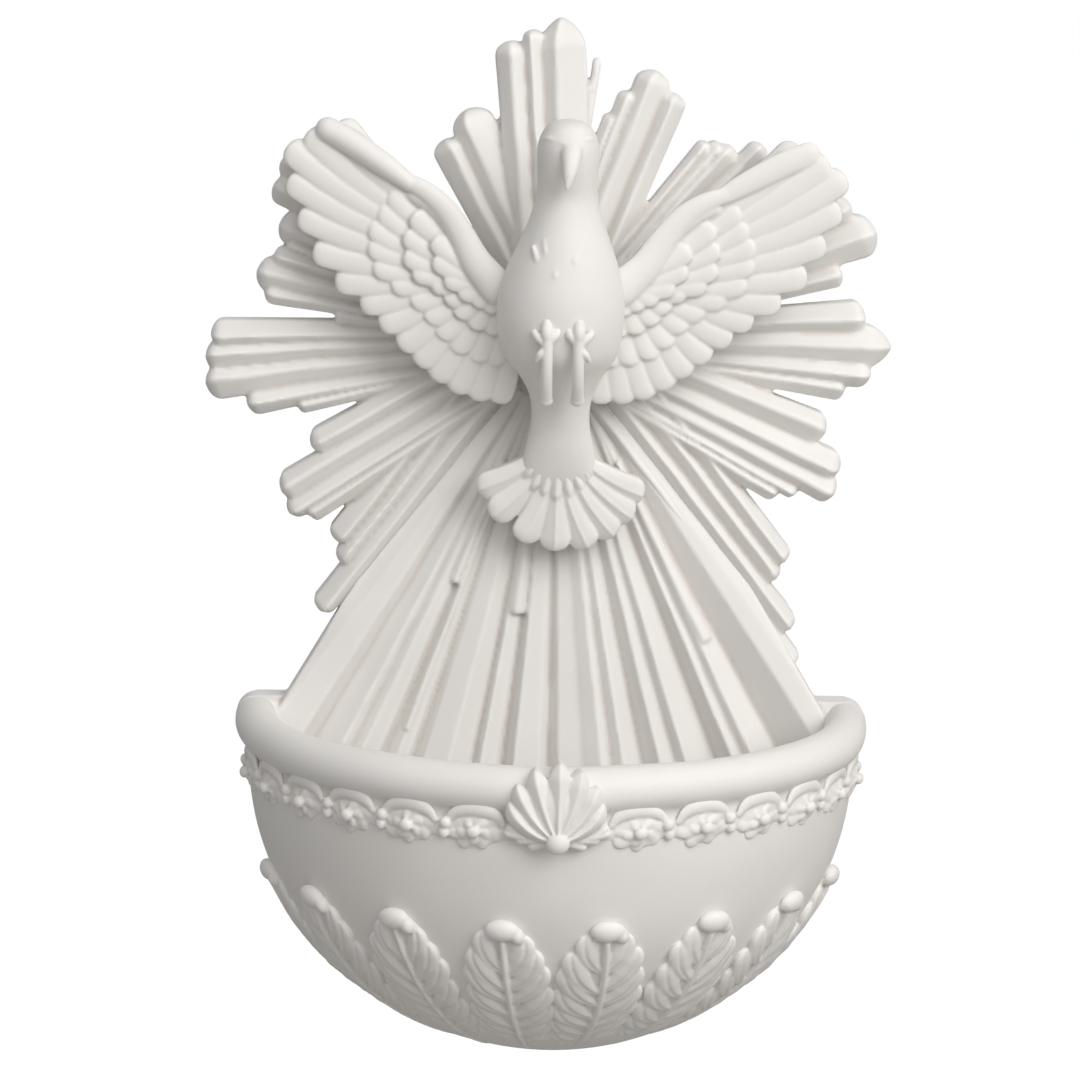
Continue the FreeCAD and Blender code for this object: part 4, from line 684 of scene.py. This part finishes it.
def tailShells():
    shells, floor, root = [], backOf("dove_tail"), tail["root"]
    tops = [tail["depth"] + rise for rise in tail["tops"]]
    for index, (bearing, reach) in enumerate(tail["feathers"]):
        side = -1 if index < tail["middle"] else 1
        bend = 0.0 if index == tail["middle"] else -tail["bend"] * side
        shells.append(pad(root, ahead(root, bearing, reach), tail["half"], floor, tops, 0.8, sharp=1.5,
                          tilt=0.16 * side, lip=0.3, tipFall=0.5, bend=bend, vein=0.2, veinHalf=0.3, point=2.3))
    tops = [tail["depth"] + rise for rise in tail["covertTops"]]
    for bearing, reach in tail["coverts"]:
        shells.append(pad(root, ahead(root, bearing, reach), tail["covertHalf"], floor, tops, 0.8, sharp=1.6,
                          lip=0.4, tipFall=0.6, point=1.4, roundness=2.0))
    return shells


castPiece("doveTail", ["dove_tail"], [upright(s) for s in tailShells()], voxel=0.26, soften=2, uneven=0.04,
          seed=10)

# legs, drawn up against the belly: x towards the dove's middle, y up, z forward from the belly's front
leg = {"spacing": 3.1, "shift": 0.4, "front": 34.0,
       "shin": [(0, 3.0, 1.5), (0, -1.5, 1.0), (0, -5.5, -0.6), (0, -9.0, -3.3)], "shinHalf": [1.2, 1.15, 1.2, 1.3],
       "knee": (0, -9.4, -3.4), "kneeSize": (1.45, 1.2, 1.3),
       "toes": [([(0, 2.6, 1.6), (-0.1, 4.6, 1.8), (-0.1, 6.2, 1.0)], [0.95, 1.2, 1.1]),
                ([(0.2, 2.4, 1.4), (1.5, 3.9, 1.5), (2.0, 5.0, 0.8)], [0.8, 0.9, 0.85]),
                ([(-0.2, 2.2, 1.4), (-1.7, 3.5, 1.3), (-2.5, 4.4, 0.5)], [0.8, 0.85, 0.8]),
                ([(0, 1.6, 1.4), (-1.3, 0.4, 1.6), (-2.1, -1.0, 0.7)], [0.75, 0.75, 0.5])]}


def legShells(side):
    x = leg["shift"] + side * leg["spacing"]

    def at(points):
        return [(x - side * p[0], p[1], leg["front"] + p[2]) for p in points]

    shells = [limb(at(leg["shin"]), leg["shinHalf"]), bead(at([leg["knee"]])[0], leg["kneeSize"])]
    return shells + [limb(at(points), radii) for points, radii in leg["toes"]]


for name, node, side, seed in (("leftLeg", "left_leg", -1, 12), ("rightLeg", "right_leg", 1, 13)):
    castPiece(name, [node], [upright(s) for s in legShells(side)], voxel=0.2, soften=3, uneven=0.03, seed=seed)


# relief on the bowl

def onSphere(p, turn):  # x across the meridian, y up along it from the equator, z out of the wall
    a = p[..., 0] / bowl["radius"]
    b = -p[..., 1] / bowl["radius"]
    out = bowl["radius"] + p[..., 2]
    x, y, z = out * np.sin(a), -out * np.cos(a) * np.cos(b), -out * np.cos(a) * np.sin(b)
    t = math.radians(turn)
    return np.stack([x * math.cos(t) - y * math.sin(t), x * math.sin(t) + y * math.cos(t) - bowl["front"],
                     z - bowl["drop"]], axis=-1)


def onWall(p, turn, out):  # x round the bowl, y up from the equator, z out of the wall
    a = p[..., 0] / bowl["radius"] + math.radians(turn)
    below = np.minimum(p[..., 1], 0)
    radius = np.sqrt(bowl["radius"] ** 2 - below ** 2) + out + p[..., 2]
    return np.stack([radius * np.sin(a), -radius * np.cos(a) - bowl["front"], p[..., 1] - bowl["drop"]], axis=-1)


# acanthus leaves, their lobes in pairs from the base up: the tip beside the midrib and below the equator, the
# lean from the midrib, and the rise over the bowl. The blade lies under the lobes and the rib over them.
leaf = {"first": 10.0, "pitch": 22.0, "count": 8, "half": 2.35, "widest": 7.5, "sunk": -1.0, "foot": (0, -74.0),
        "bladeTip": (0, -23.0), "bladeHalf": (1.6, 5.0, 6.2, 5.6), "bladeTops": (0.1, 0.8, 1.2, 1.4),
        "ribTip": (0, -25.5), "ribHalf": (0.6, 0.65), "ribTops": (0.6, 1.4, 2.1, 2.5), "lobeTops": (-0.1, 0.3, 0.1),
        "lobes": ((4.6, -62.5, 41, 0.5), (5.9, -57.0, 41, 0.8), (6.8, -51.0, 40, 1.1), (7.4, -45.0, 38, 1.4),
                  (7.6, -39.0, 36, 1.7), (7.3, -33.4, 33, 1.9), (6.2, -28.4, 29, 2.0), (4.0, -24.8, 22, 1.9)),
        "curl": (0.0, -23.3, 1.0), "curlSize": (3.4, 2.2, 1.8), "curlEnd": (2.8, -1.2, -0.1),
        "curlEndSize": (1.4, 1.8, 1.5)}


def leafShells(seed):
    dice = np.random.default_rng(seed)
    sway = dice.uniform(-1.0, 1.0)
    shells = [pad(leaf["foot"], leaf["bladeTip"], leaf["bladeHalf"], leaf["sunk"], leaf["bladeTops"], 0.4,
                  lip=0.5, tipFall=0.6, bend=sway)]
    for out, up, lean, rise in leaf["lobes"]:
        tops = [rise + more for more in leaf["lobeTops"]]
        for side in (-1, 1):
            tip = (side * out * dice.uniform(0.95, 1.05), up + dice.uniform(-0.6, 0.6))
            root = (0.0, tip[1] - abs(tip[0]) / math.tan(math.radians(lean)))
            half = leaf["half"] * (0.7 + 0.3 * out / leaf["widest"])
            shells.append(pad(root, tip, (0.8, half, half * 1.1), leaf["sunk"], tops, 0.5, sharp=1.6, lip=0.2,
                              tipFall=0.5, bend=-1.3 * side, roundness=1.3, point=1.8, vein=-0.4, veinHalf=0.32,
                              veinPlace=-0.15 * side))
    shells.append(pad(leaf["foot"], leaf["ribTip"], leaf["ribHalf"], leaf["sunk"], leaf["ribTops"], 0.5,
                      sharp=2.0, lip=0.2, tipFall=0.2, bend=sway))
    shells.append(bead(leaf["curl"], leaf["curlSize"], lean=dice.uniform(-6, 6)))
    curlEnd = [a + b for a, b in zip(leaf["curl"], leaf["curlEnd"])]
    shells.append(bead(curlEnd, leaf["curlEndSize"], lean=20))
    return shells


for index in range(leaf["count"]):
    rank = index - leaf["count"] // 2  # 0 is the first leaf right of the middle, -1 the first one left of it
    turn = leaf["first"] + rank * leaf["pitch"] if rank >= 0 else -leaf["first"] + (rank + 1) * leaf["pitch"]
    castPiece("acanthusLeaf%d" % (index + 1), ["acanthus_leaf_%d" % (index + 1)],
              [onSphere(s, turn) for s in leafShells(30 + index)], voxel=0.28, soften=2, uneven=0.05, wave=8.0,
              seed=20 + index)

# garlands: roses under crescents. A rose has two rings of petals: count, reach across and up, half width, height.
garland = {"count": 6, "first": 14.5, "pitch": 12.4, "drop": 2.6,
           "rings": ((7, 5.5, 3.6, 2.5, 1.0), (5, 3.4, 2.4, 1.9, 1.5)), "sunk": -0.8,
           "dome": ((0, 0.5, -0.3), (5.4, 4.0, 1.3)), "heart": ((0, 0, 1.9), (1.35, 1.2, 0.9)),
           "crescent": [(-5.4, 1.6), (-4.3, 3.1), (-2.0, 4.1), (1.2, 4.2), (4.0, 3.3), (5.4, 1.8)],
           "crescentHalf": [0.7, 1.1, 1.4, 1.3, 1.0, 0.7], "crescentOut": (0.4, 0.06),
           "beads": (((5.8, 1.2, 0.9), (1.1, 1.2, 0.9)), ((6.2, -0.8, 0.7), (1.0, 1.2, 0.8))),
           "bandHalf": (1.9, 1.9), "bandTops": (0.9, 0.9), "bandStart": 0.55, "bandLength": 1.08}


def roseMotif(dice, side):
    motif = [bead(*garland["dome"])]
    for count, reachX, reachY, half, top in garland["rings"]:
        lean = dice.uniform(0, 50)
        for petal in range(count):
            x, y = ahead((0, 0), lean + 360 * petal / count, dice.uniform(0.94, 1.04))
            motif.append(pad((0, 0), (x * reachX, y * reachY), (0.5, half), garland["sunk"], (top + 0.3, top), 0.5,
                             sharp=1.8, lip=0.3, tipFall=0.4, bend=0.7, tilt=0.22, stations=18, across=13))
    motif.append(bead(*garland["heart"]))
    out, slope = garland["crescentOut"]
    arc = [(side * x, y, out + slope * y) for x, y in garland["crescent"]]
    motif.append(limb(arc, garland["crescentHalf"], flat=0.6, around=18, steps=7))
    for (x, y, z), size in garland["beads"]:
        motif.append(bead((side * x, y, z), size))
    return motif


def garlandShells(side):
    dice = np.random.default_rng(50 + side)
    shells = []
    for index in range(garland["count"]):
        turn = side * (garland["first"] + index * garland["pitch"])
        for shell in roseMotif(dice, side):
            shell[..., 1] -= garland["drop"]
            shells.append(onWall(shell, turn, 0.0))
    span = math.radians(garland["pitch"]) * bowl["radius"]
    for index in range(garland["count"]):  # the thin band that ties them
        start = side * (math.radians(garland["first"]) * bowl["radius"] + (index - garland["bandStart"]) * span)
        end = start + side * span * garland["bandLength"]
        band = pad((start, -garland["drop"]), (end, -garland["drop"]), garland["bandHalf"], garland["sunk"],
                   garland["bandTops"], 0.3, lip=0.3, tipFall=0.3, stations=14, across=11)
        shells.append(onWall(band, 0.0, 0.0))
    return shells


for name, node, side, seed in (("leftGarland", "left_garland", -1, 40), ("rightGarland", "right_garland", 1, 41)):
    castPiece(name, [node], garlandShells(side), voxel=0.24, soften=2, uneven=0.04, seed=seed)

# crest: a palmette on the roll with husks beside its bead. Lobes: degrees from upright, share of the height.
crest = {"base": (0.0, -3.6), "height": 15.5, "half": (0.6, 1.5, 2.3), "out": 2.7, "sunk": -3.2,
         "lobeTops": (3.7, 3.9), "stagger": 0.12, "filler": ((0, 2.6, -0.7), (5.8, 6.6, 2.9)),
         "beadOut": 1.6, "beadSize": (2.2, 2.2, 1.9),
         "huskStart": (1.6, -0.6), "huskStep": (2.3, 0.5), "huskTurn": 14, "huskLength": 4.1, "huskCount": 3,
         "huskHalf": (0.6, 1.25), "huskTops": (2.6, 2.2),
         "lobes": ((-50, 0.76), (48, 0.72), (-34, 0.87), (33, 0.85), (-17, 0.95), (17, 0.94), (1, 1.0)),
         "husks": (-104, -84, 84, 104)}


def crestShells():
    shells = [bead(*crest["filler"])]
    for index, (lean, share) in enumerate(crest["lobes"]):
        tip = ahead(crest["base"], 90 - lean, crest["height"] * share)
        lift = crest["stagger"] * index  # so that the lobes overlap
        tops = [top + lift for top in crest["lobeTops"]]
        shells.append(pad(crest["base"], tip, crest["half"], crest["sunk"], tops, 1.4, sharp=1.2, lip=0.3,
                          tipFall=0.8, roundness=1.4, point=1.5, bend=-0.03 * lean))
    x, y = crest["base"]
    shells.append(bead((x, y, crest["beadOut"]), crest["beadSize"]))
    (startX, startY), (stepX, stepY) = crest["huskStart"], crest["huskStep"]
    for lean in crest["husks"]:
        side = 1 if lean > 0 else -1
        for step in range(crest["huskCount"]):
            root = (x + side * (startX + stepX * step), y + startY + stepY * step)
            tip = ahead(root, 90 - side * (abs(lean) - crest["huskTurn"] * step), crest["huskLength"])
            shells.append(pad(root, tip, crest["huskHalf"], crest["sunk"], crest["huskTops"], 0.7, tipFall=0.6,
                              stations=14, across=11))
    return shells


castPiece("shellCrest", ["shell_crest"], [onWall(s, 0.0, crest["out"]) for s in crestShells()], voxel=0.22,
          soften=2, uneven=0.03, seed=42)

for node in ("hanger_plate", "hanger_screws"):  # the CAD steel stays, with a better finish
    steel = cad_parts[node]
    steel.data.materials.clear()
    steel.data.materials.append(zincSteel)
print("pieces made")

# floor, world, lamps and camera; places in metres, the camera's own in millimetres. A lamp has a place, a
# width in metres, its power in watts and its colour.
white = (1, 1, 1, 1)
studio = {"floorDrop": 0.12, "floorHalf": 3.0, "floor": "#bab9b7", "floorFleck": "#b4b3b1", "fibre": 40.0,
          "paperGlow": 1.32, "glowShare": 0.75, "ambient": 0.31, "ambientTone": "#f9f7f3",
          "windowLight": ((0.66, -0.80, 0.58), 0.9, 9.2, "#fffdfb"),
          "ceilingPanel": ((-0.10, -0.96, 0.66), 1.4, 4.5, "#fdfcff"), "aim": (0.0, -0.03, -0.04)}
shot = {"target": (0.0, -10.0, -41.0), "distance": 780.0, "elevation": 10.0, "azimuth": -1.2, "roll": 0.9,
        "focal": 3822.0, "slide": 14.5 / 4.9, "picture": 1080, "sensor": 36.0}


def makeFloor():
    mesh = bpy.data.meshes.new("studioFloor")
    half, z = studio["floorHalf"], cadBox[0][2] - studio["floorDrop"]
    mesh.from_pydata([(-half, -half, z), (half, -half, z), (half, half, z), (-half, half, z)], [], [(0, 1, 2, 3)])
    floor = bpy.data.objects.new("studioFloor", mesh)
    scene.collection.objects.link(floor)
    stuff = bpy.data.materials.new("backgroundPaper")  # matt paper, white to the camera and grey in shade
    tree = newTree(stuff)
    fibre = addNode(tree, "ShaderNodeTexNoise", {"Scale": studio["fibre"], "Detail": 3.0}).outputs["Fac"]
    tone = addBlend(tree, fibre, studio["floor"], studio["floorFleck"])
    paper = addNode(tree, "ShaderNodeBsdfDiffuse", {}, {"Color": tone}).outputs[0]
    glow = addNode(tree, "ShaderNodeEmission", {"Color": white, "Strength": studio["paperGlow"]}).outputs[0]
    ray = addNode(tree, "ShaderNodeLightPath").outputs["Is Camera Ray"]
    seen = addNode(tree, "ShaderNodeMath", {"operation": "MULTIPLY", 1: studio["glowShare"]}, {0: ray}).outputs[0]
    both = addNode(tree, "ShaderNodeMixShader", {}, {0: seen, 1: paper, 2: glow}).outputs[0]
    addNode(tree, "ShaderNodeOutputMaterial", links={"Surface": both})
    floor.data.materials.append(stuff)


def makeWorld():  # white where the camera sees it, itself or in a reflection, and dim as a light
    world = bpy.data.worlds.new("studioWorld")
    scene.world = world
    tree = newTree(world)
    ray = addNode(tree, "ShaderNodeLightPath").outputs
    seen = ray["Is Camera Ray"]
    for kind in ("Is Glossy Ray", "Is Transmission Ray"):
        seen = addNode(tree, "ShaderNodeMath", {"operation": "MAXIMUM"}, {0: seen, 1: ray[kind]}).outputs[0]
    dim = addNode(tree, "ShaderNodeBackground",
                  {"Color": toLinear(studio["ambientTone"]), "Strength": studio["ambient"]}).outputs[0]
    bright = addNode(tree, "ShaderNodeBackground", {"Color": white, "Strength": 1.0}).outputs[0]
    both = addNode(tree, "ShaderNodeMixShader", {}, {0: seen, 1: dim, 2: bright}).outputs[0]
    addNode(tree, "ShaderNodeOutputWorld", links={"Surface": both})


def addLamp(name):
    place, size, power, tone = studio[name]
    lamp = bpy.data.lights.new(name, "AREA")
    lamp.shape = "DISK"
    lamp.size = size
    lamp.energy = power
    lamp.color = toLinear(tone)[:3]
    holder = bpy.data.objects.new(name, lamp)
    holder.location = place
    aim = Vector(studio["aim"]) - holder.location
    holder.rotation_euler = aim.to_track_quat("-Z", "Y").to_euler()
    scene.collection.objects.link(holder)


def makeCamera():
    az, el, roll = (math.radians(shot[k]) for k in ("azimuth", "elevation", "roll"))
    back = Vector((math.sin(az) * math.cos(el), -math.cos(az) * math.cos(el), math.sin(el)))
    level = Vector((0, 0, 1)).cross(back).normalized()
    upward = back.cross(level)
    right = level * math.cos(roll) + upward * math.sin(roll)
    up = upward * math.cos(roll) - level * math.sin(roll)
    lens = bpy.data.cameras.new("studioCamera")
    lens.sensor_width = shot["sensor"]
    lens.lens = shot["focal"] / shot["picture"] * shot["sensor"]
    camera = bpy.data.objects.new("studioCamera", lens)
    place = (Vector(shot["target"]) + back * shot["distance"] - right * shot["slide"]) * mm
    camera.matrix_world = Matrix.Translation(place) @ Matrix((right, up, back)).transposed().to_4x4()
    scene.collection.objects.link(camera)
    scene.camera = camera


makeFloor()
makeWorld()
addLamp("windowLight")
addLamp("ceilingPanel")
makeCamera()
scene.view_settings.view_transform = "Standard"
print("studio made")
